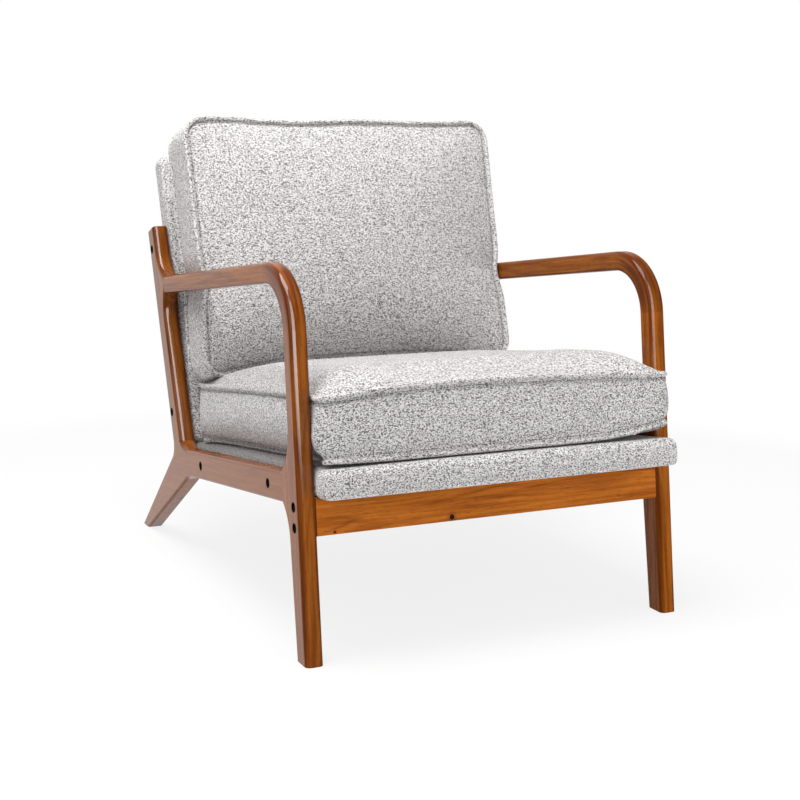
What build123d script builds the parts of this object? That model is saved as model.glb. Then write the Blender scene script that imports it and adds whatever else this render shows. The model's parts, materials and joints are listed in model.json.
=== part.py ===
from build123d import *
import math
import os

# Lounge armchair with a solid wood frame and loose cushions, in millimetres.
# The frame is square to the raked seat, so every piece is drawn in the seat's own frame, in which
# X runs to the sitter's left, S runs back along the seat and N stands square to the seat.
# The floor then lies at the rake angle, and one turn at the end stands the chair on it.

# Overall sizes of the wooden frame
CHAIR_WIDTH = 680.0
BOARD = 30.0
RAKE = 8.0
FRONT_ROUND = 9.0
BACK_ROUND = 5.0

# Front leg
FOOT_DEPTH = 40.0
LEG_DEPTH = 46.0
LEG_TOP_DEPTH = 33.0
LEG_FLARE_BELOW = 55.0
LEG_FLARE_ABOVE = 68.0

# Side rail and rear leg
RAIL_JOINT = 70.0
RAIL_BOTTOM = 247.0
RAIL_HEIGHT = 50.0
REAR_FOOT_FRONT = 855.0
REAR_FOOT_DEPTH = 38.0
REAR_LEG_FRONT_ANGLE = 31.6
REAR_LEG_BACK_ANGLE = 41.5
REAR_ELBOW_RADIUS = 90.0
REAR_NOTCH_RADIUS = 30.0

# Back post
POST_SEAT = 13.0
POST_BASE_FRONT = 593.0
POST_BASE_DEPTH = 48.0
POST_TOP_DEPTH = 39.0
POST_ABOVE_ARM = 91.0
POST_TILT = 13.6
POST_TOP_ROUND = 3.0
POST_FOOT_SWEEP = 38.0
ARM_FLARE_BELOW = 55.0
ARM_FLARE_ABOVE = 50.0
POST_SHOULDER = 21.5

# Armrest
ARM_TOP = 620.0
ARM_THICKNESS = 33.0
ARM_BEND = 108.0

# Front rail
FRONT_RAIL_SETBACK = 4.0
FRONT_RAIL_THICKNESS = 36.0
FRONT_RAIL_HEIGHT = 60.0
FRONT_RAIL_ROUND = 3.0

# Upholstered seat platform
DECK_THICKNESS = 46.0
DECK_FRONT = -60.0
DECK_BACK = 625.0
DECK_CORNER = 14.0
DECK_CROWN = 3.0
DECK_EDGE_ROUND = 17.5
DECK_LOW_INSET = 2.0
DECK_LOW_ROUND = 3.0
DECK_FABRIC = 2.0
DECK_TURN_UNDER = 28.0
DUST_COVER = 1.0

# Upholstered back panel
PANEL_THICKNESS = 50.0
PANEL_HEIGHT = 561.0
PANEL_DROP = 6.0
PANEL_BEHIND_POST = 12.0
PANEL_CORNER = 16.0
PANEL_EDGE_ROUND = 13.0
PANEL_CROWN = 16.0
PANEL_FABRIC = 2.0

# Hidden wooden frames of the platform and the panel
BATTEN_WIDTH = 32.0
BATTEN_THICKNESS = 23.0
WEBBING_WIDTH = 50.0
WEBBING_THICKNESS = 1.6
WEBBING_COUNT = 5
WEBBING_PLAY = 0.1
FRAME_PADDING = 3.0

# Loose cushions
CUSHION_GAP = 0.4
PIPING_RADIUS = 3.5
PIPING_PLAY = 0.1
GROOVE = 4.0
WRAP = 7.0
DRAW_IN = 5.0
LAYER_MARGIN = 2.0
CROWN_STEPS = ((0.42, 24.0), (0.72, 60.0), (0.91, 104.0), (1.0, 150.0))
SEAT_FRONT = -44.0
SEAT_BACK = 575.0
SEAT_CORNER = 16.0
SEAT_SEAM_LOW = 10.0
SEAT_UNDER_INSET = 14.0
SEAT_UNDER_ROUND = 5.0
SEAT_BOXING = 94.0
SEAT_CROWN = 40.0
BACK_HEIGHT = 468.0
BACK_BOXING = 98.0
BACK_CORNER = 30.0
BACK_FRONT_CROWN = 30.0
BACK_TILT = 8.0
BACK_FRONT_EDGE = 494.0

# Fasteners
COUNTERBORE = 16.0
COUNTERBORE_DEPTH = 11.0
BOLT = 8.0
BOLT_HEAD = 13.0
BOLT_HEAD_DEPTH = 5.0
BOLT_SOCKET = 5.0
BOLT_SOCKET_DEPTH = 3.0
HOLE_PLAY = 0.25
WASHER = 15.0
WASHER_THICKNESS = 1.5
LEG_BOLT_SPACING = 32.0
BARREL_NUT = 14.0
BARREL_NUT_LENGTH = 24.0
BARREL_NUT_INSET = 42.0
INSERT = 12.0
INSERT_LENGTH = 18.0
RAIL_BOLT_FRONT = 130.0
RAIL_BOLT_BACK = 477.0
POST_BOLT_MARGIN = 2.0
POST_BOLT_LOW = 50.0
POST_BOLT_BELOW_TOP = 40.0
DOWEL = 8.0
DOWEL_LENGTH = 40.0
DOWEL_PLAY = 0.1
NARROW_DOWEL_SPACING = 12.8
WIDE_DOWEL_SPACING = 16.0
THREAD_PLAY = 0.1

# Values that follow from the sizes above
INNER = CHAIR_WIDTH / 2 - BOARD
RAIL_TOP = RAIL_BOTTOM + RAIL_HEIGHT
POST_BASE = RAIL_TOP + POST_SEAT
POST_BASE_BACK = POST_BASE_FRONT + POST_BASE_DEPTH
ARM_UNDER = ARM_TOP - ARM_THICKNESS
POST_LENGTH = (ARM_TOP - POST_BASE) / math.cos(math.radians(POST_TILT)) + POST_ABOVE_ARM
POST_BOLT_EDGE = BACK_ROUND + COUNTERBORE / 2 + POST_BOLT_MARGIN
BEND_START = ARM_TOP - ARM_BEND
DECK_BOTTOM = (RAIL_BOTTOM + RAIL_TOP) / 2 - DECK_FABRIC - BATTEN_THICKNESS / 2 - CUSHION_GAP
DECK_TOP = DECK_BOTTOM + DECK_THICKNESS
FRONT_RAIL_BOTTOM = DECK_BOTTOM - FRONT_RAIL_HEIGHT
SOFT_HALF = INNER - CUSHION_GAP
PIPING_OUT = math.sqrt(2) * (PIPING_RADIUS + PIPING_PLAY) - GROOVE
CUSHION_HALF = SOFT_HALF - PIPING_OUT - PIPING_RADIUS


def direction(angle):
    """Unit vector in the S and N plane at an angle from S."""
    return (math.cos(math.radians(angle)), math.sin(math.radians(angle)))


def along(point, way, distance):
    """The point a distance from another along a unit vector."""
    return (point[0] + way[0] * distance, point[1] + way[1] * distance)


def meet(p, d, q, e):
    """Where the line from p along d meets the line from q along e."""
    cross = d[0] * e[1] - d[1] * e[0]
    reach = ((q[0] - p[0]) * e[1] - (q[1] - p[1]) * e[0]) / cross
    return along(p, d, reach)


def floor_point(distance):
    """Point of the floor at a level distance behind the front foot."""
    return along((0.0, 0.0), direction(RAKE), distance)


def board(edges, side):
    """Extrude a closed side profile through the thickness of one side frame."""
    start = -CHAIR_WIDTH / 2 if side < 0 else INNER
    face = make_face(Wire(edges))
    return Pos(start, 0, 0) * extrude(face, BOARD, dir=(1, 0, 0))


def point(pair):
    """A profile point as a point in space, on the plane of the side frame."""
    return Vector(0, pair[0], pair[1])


def line(a, b):
    """Straight profile edge."""
    return Edge.make_line(point(a), point(b))


def tangent_arc(a, way, b):
    """Profile arc from a, leaving along a direction, to b."""
    return Edge.make_tangent_arc(point(a), point(way), point(b))


def arc_through(a, middle, b):
    """Profile arc through three points."""
    return Edge.make_three_point_arc(point(a), point(middle), point(b))


def back_from(way):
    """The opposite of a profile direction."""
    return (-way[0], -way[1])


def round_long_edges(solid, near, radius):
    """Round the edges of both side faces that a test on the middle of the edge accepts."""
    chosen = []
    for edge in solid.edges():
        middle = edge.position_at(0.5)
        ends = edge.position_at(1) - edge.position_at(0)
        on_side = abs(ends.X) < 0.01 and edge.bounding_box().size.X < 0.01
        if on_side and near(middle.Y, middle.Z):
            chosen.append(edge)
    return fillet(chosen, radius)


def cross_hole(x, s, n, radius, length):
    """Round hole or rod along X, starting at x."""
    rod = Cylinder(radius, length, align=(Align.CENTER, Align.CENTER, Align.MIN))
    return Pos(x, s, n) * (Rot(0, 90, 0) * rod)


# Lines shared by the profiles of a side frame
post_base_front = (POST_BASE_FRONT, POST_BASE)
post_base_back = (POST_BASE_BACK, POST_BASE)
post_back_way = direction(90 - POST_TILT)
post_top_back = along(post_base_back, post_back_way, POST_LENGTH)
post_top_front = along(post_top_back, direction(180 - POST_TILT), POST_TOP_DEPTH)
post_front_run = (post_top_front[0] - post_base_front[0], post_top_front[1] - post_base_front[1])
post_front_length = math.hypot(*post_front_run)
post_front_way = (post_front_run[0] / post_front_length, post_front_run[1] / post_front_length)


def post_front_at(n):
    """Point of the post's front edge at a height above the seat's base line."""
    return meet(post_base_front, post_front_way, (0.0, n), (1.0, 0.0))


# The arm ends on a shoulder that the post grows in front of itself
ARM_END = post_front_at((ARM_TOP + ARM_UNDER) / 2)[0] - POST_SHOULDER


def bolt_places():
    """S and N of the bolts of one side: leg, rail and post, in that order."""
    middle = FRONT_RAIL_BOTTOM + FRONT_RAIL_HEIGHT / 2
    leg_s = FRONT_RAIL_SETBACK + FRONT_RAIL_THICKNESS / 2
    leg = [(leg_s, middle - LEG_BOLT_SPACING / 2), (leg_s, middle + LEG_BOLT_SPACING / 2)]
    rail_n = (RAIL_BOTTOM + RAIL_TOP) / 2
    rail = [(RAIL_BOLT_FRONT, rail_n), (RAIL_BOLT_BACK, rail_n)]
    edge_line = along(post_base_back, direction(180 - POST_TILT), POST_BOLT_EDGE)
    post = [along(edge_line, post_back_way, POST_BOLT_LOW)]
    post.append(along(edge_line, post_back_way, POST_LENGTH - POST_BOLT_BELOW_TOP))
    return leg, rail, post


LEG_BOLTS, RAIL_BOLTS, POST_BOLTS = bolt_places()


def dowel_places():
    """Middle and direction of each dowel of one side frame."""
    leg_middle = LEG_TOP_DEPTH / 2
    arm_middle = (ARM_TOP + ARM_UNDER) / 2
    rail_middle = (RAIL_TOP + RAIL_BOTTOM) / 2
    base_middle = POST_BASE_FRONT + POST_BASE_DEPTH / 2
    narrow = NARROW_DOWEL_SPACING / 2
    wide = WIDE_DOWEL_SPACING / 2
    return [
        ((leg_middle - narrow, BEND_START), "N"),
        ((leg_middle + narrow, BEND_START), "N"),
        ((ARM_END, arm_middle - narrow), "S"),
        ((ARM_END, arm_middle + narrow), "S"),
        ((RAIL_JOINT, rail_middle - wide), "S"),
        ((RAIL_JOINT, rail_middle + wide), "S"),
        ((base_middle - wide, POST_BASE), "N"),
        ((base_middle + wide, POST_BASE), "N"),
    ]


def dowel_rod(place, way, side, radius, length):
    """One dowel, or its hole, centred on a joint of a side frame."""
    turn = Rot(90, 0, 0) if way == "S" else Rot(0, 0, 0)
    return Pos(side * (INNER + BOARD / 2), place[0], place[1]) * (turn * Cylinder(radius, length))


def drilled(solid, side, bolts):
    """Cut the dowel holes and the stepped bolt holes of a side frame piece."""
    for place, way in dowel_places():
        solid -= dowel_rod(place, way, side, DOWEL / 2 + DOWEL_PLAY, DOWEL_LENGTH + 1)
    outside = side * CHAIR_WIDTH / 2
    start = outside if side < 0 else outside - COUNTERBORE_DEPTH
    for s, n in bolts:
        solid -= cross_hole(start, s, n, COUNTERBORE / 2, COUNTERBORE_DEPTH)
        through = -CHAIR_WIDTH / 2 if side < 0 else INNER
        solid -= cross_hole(through, s, n, BOLT / 2 + HOLE_PLAY, BOARD)
    return solid


def front_leg(side):
    """Front leg, flared at the back where the side rail joins."""
    foot_back = floor_point(FOOT_DEPTH)
    flare_low = (LEG_DEPTH, RAIL_BOTTOM - LEG_FLARE_BELOW)
    back_run = (flare_low[0] - foot_back[0], flare_low[1] - foot_back[1])
    flare_high = (LEG_TOP_DEPTH, RAIL_TOP + LEG_FLARE_ABOVE)
    edges = [
        line((0, 0), foot_back),
        line(foot_back, flare_low),
        tangent_arc(flare_low, back_run, (RAIL_JOINT, RAIL_BOTTOM)),
        line((RAIL_JOINT, RAIL_BOTTOM), (RAIL_JOINT, RAIL_TOP)),
        tangent_arc(flare_high, (0, -1), (RAIL_JOINT, RAIL_TOP)),
        line(flare_high, (LEG_TOP_DEPTH, BEND_START)),
        line((LEG_TOP_DEPTH, BEND_START), (0, BEND_START)),
        line((0, BEND_START), (0, 0)),
    ]
    solid = board(edges, side)

    def on_front(s, n):
        return abs(s) < 0.5

    def on_back(s, n):
        return s > FRONT_ROUND + 1 and abs(s - RAIL_JOINT) > 0.5 and FOOT_DEPTH < n < BEND_START - 1

    solid = round_long_edges(solid, on_front, FRONT_ROUND)
    return drilled(round_long_edges(solid, on_back, BACK_ROUND), side, LEG_BOLTS)


def armrest(side):
    """Armrest that bends down at the front to meet the leg."""
    centre = (ARM_BEND, BEND_START)
    inner_bend = ARM_BEND - LEG_TOP_DEPTH
    under_bend = (ARM_BEND, BEND_START + inner_bend)
    slant = direction(135)
    edges = [
        line((0, BEND_START), (LEG_TOP_DEPTH, BEND_START)),
        arc_through((LEG_TOP_DEPTH, BEND_START), along(centre, slant, inner_bend), under_bend),
        line(under_bend, (ARM_END, ARM_UNDER)),
        line((ARM_END, ARM_UNDER), (ARM_END, ARM_TOP)),
        line((ARM_END, ARM_TOP), (ARM_BEND, ARM_TOP)),
        arc_through((ARM_BEND, ARM_TOP), along(centre, slant, ARM_BEND), (0, BEND_START)),
    ]
    solid = board(edges, side)

    def on_top(s, n):
        return n > ARM_TOP - 0.5 or abs(math.hypot(s - centre[0], n - centre[1]) - ARM_BEND) < 0.5

    def underneath(s, n):
        flat = s > ARM_BEND and s < ARM_END - 1 and n < ARM_UNDER + 1
        return flat or abs(math.hypot(s - centre[0], n - centre[1]) - inner_bend) < 0.5

    solid = round_long_edges(solid, on_top, FRONT_ROUND)
    return drilled(round_long_edges(solid, underneath, BACK_ROUND), side, [])


def side_rail(side):
    """Side rail that runs on into the raked rear leg."""
    foot_front = floor_point(REAR_FOOT_FRONT)
    foot_back = floor_point(REAR_FOOT_FRONT + REAR_FOOT_DEPTH)
    front_way = direction(180 - REAR_LEG_FRONT_ANGLE + RAKE)
    back_way = direction(180 - REAR_LEG_BACK_ANGLE + RAKE)
    elbow = meet(foot_front, front_way, (0.0, RAIL_BOTTOM), (1.0, 0.0))
    elbow_turn = math.radians(REAR_LEG_FRONT_ANGLE - RAKE)
    elbow_reach = REAR_ELBOW_RADIUS * math.tan(elbow_turn / 2)
    elbow_low = along(elbow, back_from(front_way), elbow_reach)
    elbow_rail = (elbow[0] - elbow_reach, RAIL_BOTTOM)
    notch = meet(foot_back, back_way, post_base_back, post_back_way)
    notch_turn = math.radians(180 - REAR_LEG_BACK_ANGLE + RAKE - 90 + POST_TILT)
    notch_reach = REAR_NOTCH_RADIUS * math.tan(notch_turn / 2)
    notch_low = along(notch, back_from(back_way), notch_reach)
    sweep_start = (POST_BASE_FRONT - POST_FOOT_SWEEP, RAIL_TOP)
    edges = [
        line((RAIL_JOINT, RAIL_BOTTOM), (RAIL_JOINT, RAIL_TOP)),
        line((RAIL_JOINT, RAIL_TOP), sweep_start),
        tangent_arc(sweep_start, (1, 0), post_base_front),
        line(post_base_front, post_base_back),
        tangent_arc(notch_low, back_way, post_base_back),
        line(notch_low, foot_back),
        line(foot_back, foot_front),
        line(foot_front, elbow_low),
        tangent_arc(elbow_low, front_way, elbow_rail),
        line(elbow_rail, (RAIL_JOINT, RAIL_BOTTOM)),
    ]
    solid = board(edges, side)

    def on_top(s, n):
        return RAIL_TOP - 0.5 < n < POST_BASE - 1 and RAIL_JOINT + 1 < s < POST_BASE_FRONT

    def around_leg(s, n):
        low_side = n < RAIL_BOTTOM + 0.5 and s > RAIL_JOINT + 1
        behind = s > POST_BASE_FRONT + POST_BASE_DEPTH / 2 and n < POST_BASE - 1
        on_floor = abs(n - s * math.tan(math.radians(RAKE))) < 0.5
        return (low_side or behind) and not on_floor

    solid = round_long_edges(solid, on_top, FRONT_ROUND)
    return drilled(round_long_edges(solid, around_leg, BACK_ROUND), side, RAIL_BOLTS)


def back_post(side):
    """Back post, flared at the front where the arm joins."""
    flare_low = post_front_at(ARM_UNDER - ARM_FLARE_BELOW)
    flare_high = post_front_at(ARM_TOP + ARM_FLARE_ABOVE)
    edges = [
        line(post_base_back, post_base_front),
        line(post_base_front, flare_low),
        tangent_arc(flare_low, post_front_way, (ARM_END, ARM_UNDER)),
        line((ARM_END, ARM_UNDER), (ARM_END, ARM_TOP)),
        tangent_arc(flare_high, back_from(post_front_way), (ARM_END, ARM_TOP)),
        line(flare_high, post_top_front),
        line(post_top_front, post_top_back),
        line(post_top_back, post_base_back),
    ]
    solid = board(edges, side)

    def on_front(s, n):
        front = post_front_at(n)[0]
        return s < front + 1 and POST_BASE + 1 < n < post_top_back[1] and abs(s - ARM_END) > 0.5

    def on_back(s, n):
        return abs(meet(post_base_back, post_back_way, (0.0, n), (1.0, 0.0))[0] - s) < 0.5

    solid = round_long_edges(solid, on_front, FRONT_ROUND)
    solid = round_long_edges(solid, on_back, BACK_ROUND)
    top_edges = solid.faces().sort_by(Axis.Z)[-1].edges()
    solid = fillet(top_edges, POST_TOP_ROUND)
    return drilled(solid, side, POST_BOLTS)


def front_rail():
    """Front rail between the two front legs, drilled at its ends for the bolts and barrel nuts."""
    middle = (0, FRONT_RAIL_SETBACK + FRONT_RAIL_THICKNESS / 2, FRONT_RAIL_BOTTOM + FRONT_RAIL_HEIGHT / 2)
    rail = Pos(*middle) * Box(2 * INNER, FRONT_RAIL_THICKNESS, FRONT_RAIL_HEIGHT)
    rail = fillet(rail.edges().filter_by(Axis.X), FRONT_RAIL_ROUND)
    depth = BARREL_NUT_INSET + BARREL_NUT
    for side in (-1, 1):
        for s, n in LEG_BOLTS:
            start = -INNER if side < 0 else INNER - depth
            rail -= cross_hole(start, s, n, BOLT / 2 + HOLE_PLAY, depth)
            rail -= barrel_hole(side, n)
    return rail


def barrel_hole(side, n):
    """Blind cross hole for a barrel nut, open at the back of the front rail."""
    bottom = FRONT_RAIL_SETBACK + (FRONT_RAIL_THICKNESS - BARREL_NUT_LENGTH) / 2
    length = FRONT_RAIL_SETBACK + FRONT_RAIL_THICKNESS - bottom
    rod = Cylinder(BARREL_NUT / 2 + DOWEL_PLAY, length, align=(Align.CENTER, Align.CENTER, Align.MAX))
    return Pos(side * (INNER - BARREL_NUT_INSET), bottom, n) * (Rot(90, 0, 0) * rod)


def plan_wire(half_width, half_depth, corner, bow, height):
    """Closed outline of a stuffed piece: four sides that bow inwards and four round corners."""
    across = half_width ** 2 / (2 * bow)
    deep = half_depth ** 2 / (2 * bow)
    p = half_width - corner
    q = half_depth - corner
    for _ in range(12):
        q = half_depth - bow + across - math.sqrt((across + corner) ** 2 - p ** 2)
        p = half_width - bow + deep - math.sqrt((deep + corner) ** 2 - q ** 2)
    top_x = p - p * corner / (across + corner)
    top_y = q + (half_depth - bow + across - q) * corner / (across + corner)
    side_x = p + (half_width - bow + deep - p) * corner / (deep + corner)
    side_y = q - q * corner / (deep + corner)
    slant = corner / math.hypot(top_x + side_x - 2 * p, top_y + side_y - 2 * q)
    mid_x = p + (top_x + side_x - 2 * p) * slant
    mid_y = q + (top_y + side_y - 2 * q) * slant
    stops = []
    for sx, sy in ((1, 1), (-1, 1), (-1, -1), (1, -1)):
        corner_run = [(sx * side_x, sy * side_y), (sx * mid_x, sy * mid_y), (sx * top_x, sy * top_y)]
        stops.append(corner_run if sx * sy > 0 else corner_run[::-1])
    bows = [(0, half_depth - bow), (bow - half_width, 0), (0, bow - half_depth), (half_width - bow, 0)]
    edges = []
    for index in range(4):
        first, middle, last = [Vector(x, y, height) for x, y in stops[index]]
        following = Vector(*stops[(index + 1) % 4][0], height)
        edges.append(Edge.make_three_point_arc(first, middle, last))
        edges.append(Edge.make_three_point_arc(last, Vector(*bows[index], height), following))
    return Wire(edges)


def stuffed(layers, half_width, half_depth, corner, bow):
    """Stuffed solid lofted through its outline at each height, drawn in by each layer's inset."""
    outlines = []
    for height, inset in layers:
        across = half_width - inset
        deep = half_depth - inset
        round_corner = min(corner + 0.5 * max(inset, 0.0), 0.7 * across, 0.7 * deep)
        outlines.append(plan_wire(across, deep, round_corner, bow, height))
    solid = Solid.make_loft(outlines, ruled=True)
    return solid if solid.volume > 0 else solid.fix()


def piping_loop(half_width, half_depth, corner, height):
    """Round piping laid in the groove of a seam."""
    out = PIPING_OUT
    path = plan_wire(half_width + out, half_depth + out, corner + out, DRAW_IN, height)
    section = Plane(origin=path.position_at(0), z_dir=path.tangent_at(0)) * Circle(PIPING_RADIUS)
    return sweep(section, path=path)


def seam(height):
    """Layers of the groove that the piping lies in."""
    return [(height - GROOVE, 0.0), (height, GROOVE), (height + GROOVE, 0.0)]


def crown(base, rise, sign=1):
    """Layers of a crowned face, from its edge towards its middle."""
    return [(base + sign * rise * part, inset) for part, inset in CROWN_STEPS]


def inner_layers(layers, wall):
    """Layers of the core that fills a cover with a given wall."""
    low = layers[0][0] + wall
    high = layers[-1][0] - wall
    kept = [(low, layers[0][1] + wall)]
    for height, inset in layers:
        if low + LAYER_MARGIN < height < high - LAYER_MARGIN and inset != GROOVE:
            kept.append((height, max(inset, 0.0) + wall))
    return kept + [(high, layers[-1][1] + wall)]


def cover_and_core(layers, half_width, half_depth, corner):
    """A cushion's cover as a hollow shell, and the core that fills it."""
    outside = stuffed(layers, half_width, half_depth, corner, DRAW_IN)
    hollow = stuffed(inner_layers(layers, WRAP), half_width, half_depth, corner, DRAW_IN)
    core = stuffed(inner_layers(layers, WRAP + CUSHION_GAP), half_width, half_depth, corner, DRAW_IN)
    return outside - hollow, core


def seat_layers():
    """Layers of the seat cushion from its flat underside to the top of its crown."""
    top_seam = SEAT_SEAM_LOW + SEAT_BOXING
    layers = [(0.0, SEAT_UNDER_INSET), (SEAT_SEAM_LOW * 0.35, SEAT_UNDER_ROUND)] + seam(SEAT_SEAM_LOW)
    return layers + seam(top_seam) + crown(top_seam + GROOVE, SEAT_CROWN - GROOVE)


def seat_surface(s):
    """Height and slope of the seat cushion's crown over its base, near its back edge."""
    edge = SEAT_BACK - DRAW_IN - PIPING_OUT - PIPING_RADIUS
    profile = [(edge - inset, height) for height, inset in seat_layers()]
    profile = [spot for spot in profile if spot[1] > SEAT_SEAM_LOW + SEAT_BOXING][::-1]
    for (s0, n0), (s1, n1) in zip(profile, profile[1:]):
        if s0 <= s <= s1:
            slope = (n1 - n0) / (s1 - s0)
            return n0 + slope * (s - s0), math.atan(slope)
    return profile[0][1], 0.0


def seat_cushion():
    """Nodes of the loose seat cushion, lying on the platform."""
    half_depth = (SEAT_BACK - SEAT_FRONT) / 2 - PIPING_OUT - PIPING_RADIUS
    lie = Pos(0, (SEAT_BACK + SEAT_FRONT) / 2, DECK_TOP + DECK_CROWN + CUSHION_GAP)
    cover, core = cover_and_core(seat_layers(), CUSHION_HALF, half_depth, SEAT_CORNER)
    low = piping_loop(CUSHION_HALF, half_depth, SEAT_CORNER, SEAT_SEAM_LOW)
    top = piping_loop(CUSHION_HALF, half_depth, SEAT_CORNER, SEAT_SEAM_LOW + SEAT_BOXING)
    return {
        "seat_cushion_cover": lie * cover,
        "seat_cushion_core": lie * core,
        "seat_piping_bottom": lie * low,
        "seat_piping_top": lie * top,
    }


def panel_frame():
    """Place of the back panel: its lower middle, on the panel's back face."""
    back = along(post_base_back, direction(-POST_TILT), PANEL_BEHIND_POST)
    return along(back, post_back_way, -PANEL_DROP)


def back_cushion():
    """Nodes of the loose back cushion, standing on the seat cushion and leaning on the panel."""
    reach = PIPING_RADIUS + CUSHION_GAP
    height, slope = seat_surface(BACK_FRONT_EDGE)
    seam_foot = (BACK_FRONT_EDGE, DECK_TOP + DECK_CROWN + CUSHION_GAP + height + reach / math.cos(slope))
    up = direction(90 - BACK_TILT)
    behind = direction(-BACK_TILT)
    panel_behind = direction(-POST_TILT)
    panel_face = along(panel_frame(), panel_behind, -(PANEL_THICKNESS + PANEL_CROWN))
    seam_back = along(seam_foot, behind, BACK_BOXING)
    rises = []
    for part, inset in CROWN_STEPS:
        touch = meet(along(seam_back, up, inset), behind, panel_face, post_back_way)
        room = math.hypot(touch[0] - seam_back[0], touch[1] - seam_back[1])
        level = math.sqrt(room ** 2 - inset ** 2)
        rises.append((level - CUSHION_GAP - GROOVE) / part + GROOVE)
    rear_crown = min(rises)
    half_height = BACK_HEIGHT / 2 - PIPING_OUT - PIPING_RADIUS
    rear = crown(-GROOVE, rear_crown - GROOVE, -1)[::-1]
    layers = rear + seam(0.0) + seam(BACK_BOXING) + crown(BACK_BOXING + GROOVE, BACK_FRONT_CROWN - GROOVE)
    cover, core = cover_and_core(layers, CUSHION_HALF, half_height, BACK_CORNER)
    front = piping_loop(CUSHION_HALF, half_height, BACK_CORNER, BACK_BOXING)
    back = piping_loop(CUSHION_HALF, half_height, BACK_CORNER, 0.0)
    origin = along(seam_back, up, BACK_HEIGHT / 2 - PIPING_RADIUS)
    lean = Pos(0, origin[0], origin[1]) * Rot(-BACK_TILT, 0, 0) * Rot(90, 0, 0)
    return {
        "back_cushion_cover": lean * cover,
        "back_cushion_core": lean * core,
        "back_piping_front": lean * front,
        "back_piping_rear": lean * back,
    }


def batten(x0, x1, y0, y1, z0, z1):
    """Square hidden wooden member between two corners."""
    return Pos((x0 + x1) / 2, (y0 + y1) / 2, (z0 + z1) / 2) * Box(x1 - x0, y1 - y0, z1 - z0)


def insert_hole(side, half, spots, bolt_only=False):
    """Holes along X into a hidden frame's side member for the bolts and their threaded inserts."""
    radius = BOLT / 2 + HOLE_PLAY if bolt_only else INSERT / 2 + DOWEL_PLAY
    length = BATTEN_WIDTH if bolt_only else INSERT_LENGTH + DOWEL_PLAY
    start = -half if side < 0 else half - length
    holes = [cross_hole(start, s, n, radius, length) for s, n in spots]
    return holes


def straps(half, low, high, height, count):
    """Elastic webbing straps across a hidden frame, evenly spaced."""
    pitch = (high - low) / count
    lanes = [low + pitch * (index + 0.5) for index in range(count)]
    width = min(WEBBING_WIDTH, pitch * 0.8)
    top = height + WEBBING_THICKNESS
    spans = [batten(-half, half, lane - width / 2, lane + width / 2, height, top) for lane in lanes]
    return Compound([span.solid() for span in spans])


def seat_deck():
    """Nodes of the upholstered seat platform, which lies on the front rail between the side rails."""
    half_depth = (DECK_BACK - DECK_FRONT) / 2
    middle = (DECK_BACK + DECK_FRONT) / 2
    edge = DECK_EDGE_ROUND
    layers = [
        (0.0, DECK_LOW_INSET),
        (DECK_LOW_ROUND, 0.0),
        (DECK_THICKNESS - edge, 0.0),
        (DECK_THICKNESS - edge * 0.35, edge * 0.2),
        (DECK_THICKNESS - edge * 0.08, edge * 0.6),
        (DECK_THICKNESS, edge * 1.4),
        (DECK_THICKNESS + DECK_CROWN, edge * 4),
    ]
    bow = DRAW_IN / 4
    lie = Pos(0, middle, DECK_BOTTOM)
    cover = stuffed(layers, SOFT_HALF, half_depth, DECK_CORNER, bow)
    cover -= stuffed(inner_layers(layers, DECK_FABRIC), SOFT_HALF, half_depth, DECK_CORNER, bow)
    opening_half = SOFT_HALF - DECK_TURN_UNDER
    opening_depth = half_depth - DECK_TURN_UNDER
    cover -= Box(2 * opening_half, 2 * opening_depth, 4 * DECK_FABRIC)
    floor = DECK_FABRIC + CUSHION_GAP
    wall = DECK_FABRIC + bow + CUSHION_GAP + FRAME_PADDING
    half = SOFT_HALF - wall
    deep = half_depth - wall
    top = floor + BATTEN_THICKNESS
    corner_cut = DECK_CORNER * 0.8
    inner = half - BATTEN_WIDTH
    side_end = deep - corner_cut
    members = {
        "deck_frame_left": batten(-half, -inner, -side_end, side_end, floor, top),
        "deck_frame_right": batten(inner, half, -side_end, side_end, floor, top),
        "deck_frame_front": batten(-inner, inner, -deep, BATTEN_WIDTH - deep, floor, top),
        "deck_frame_back": batten(-inner, inner, deep - BATTEN_WIDTH, deep, floor, top),
    }
    webbing = straps(half, BATTEN_WIDTH - deep, deep - BATTEN_WIDTH, top, WEBBING_COUNT)
    foam_base = top + WEBBING_THICKNESS + WEBBING_PLAY
    foam_layers = [(foam_base, wall), (DECK_THICKNESS - edge * 0.35 - DECK_FABRIC, wall + edge * 0.2)]
    foam_layers += [(DECK_THICKNESS + DECK_CROWN - DECK_FABRIC - CUSHION_GAP, edge * 4 + wall)]
    foam = stuffed(foam_layers, SOFT_HALF, half_depth, DECK_CORNER, bow)
    dust_width = 2 * opening_half - CUSHION_GAP
    dust_depth = 2 * opening_depth - CUSHION_GAP
    dust = Pos(0, 0, DUST_COVER / 2) * Box(dust_width, dust_depth, DUST_COVER)
    nodes = {"deck_cover": lie * cover, "deck_foam": lie * foam, "deck_webbing": lie * webbing}
    nodes["deck_dust_cover"] = lie * dust
    for name, member in members.items():
        nodes[name] = lie * member
    for side, name in ((-1, "deck_frame_left"), (1, "deck_frame_right")):
        for hole in insert_hole(side, half, RAIL_BOLTS) + insert_hole(side, half, RAIL_BOLTS, True):
            nodes[name] -= hole
        for s, n in RAIL_BOLTS:
            start = -SOFT_HALF - 1 if side < 0 else half
            nodes["deck_cover"] -= cross_hole(start, s, n, BOLT / 2 + HOLE_PLAY, SOFT_HALF + 1 - half)
    return nodes, half


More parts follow.
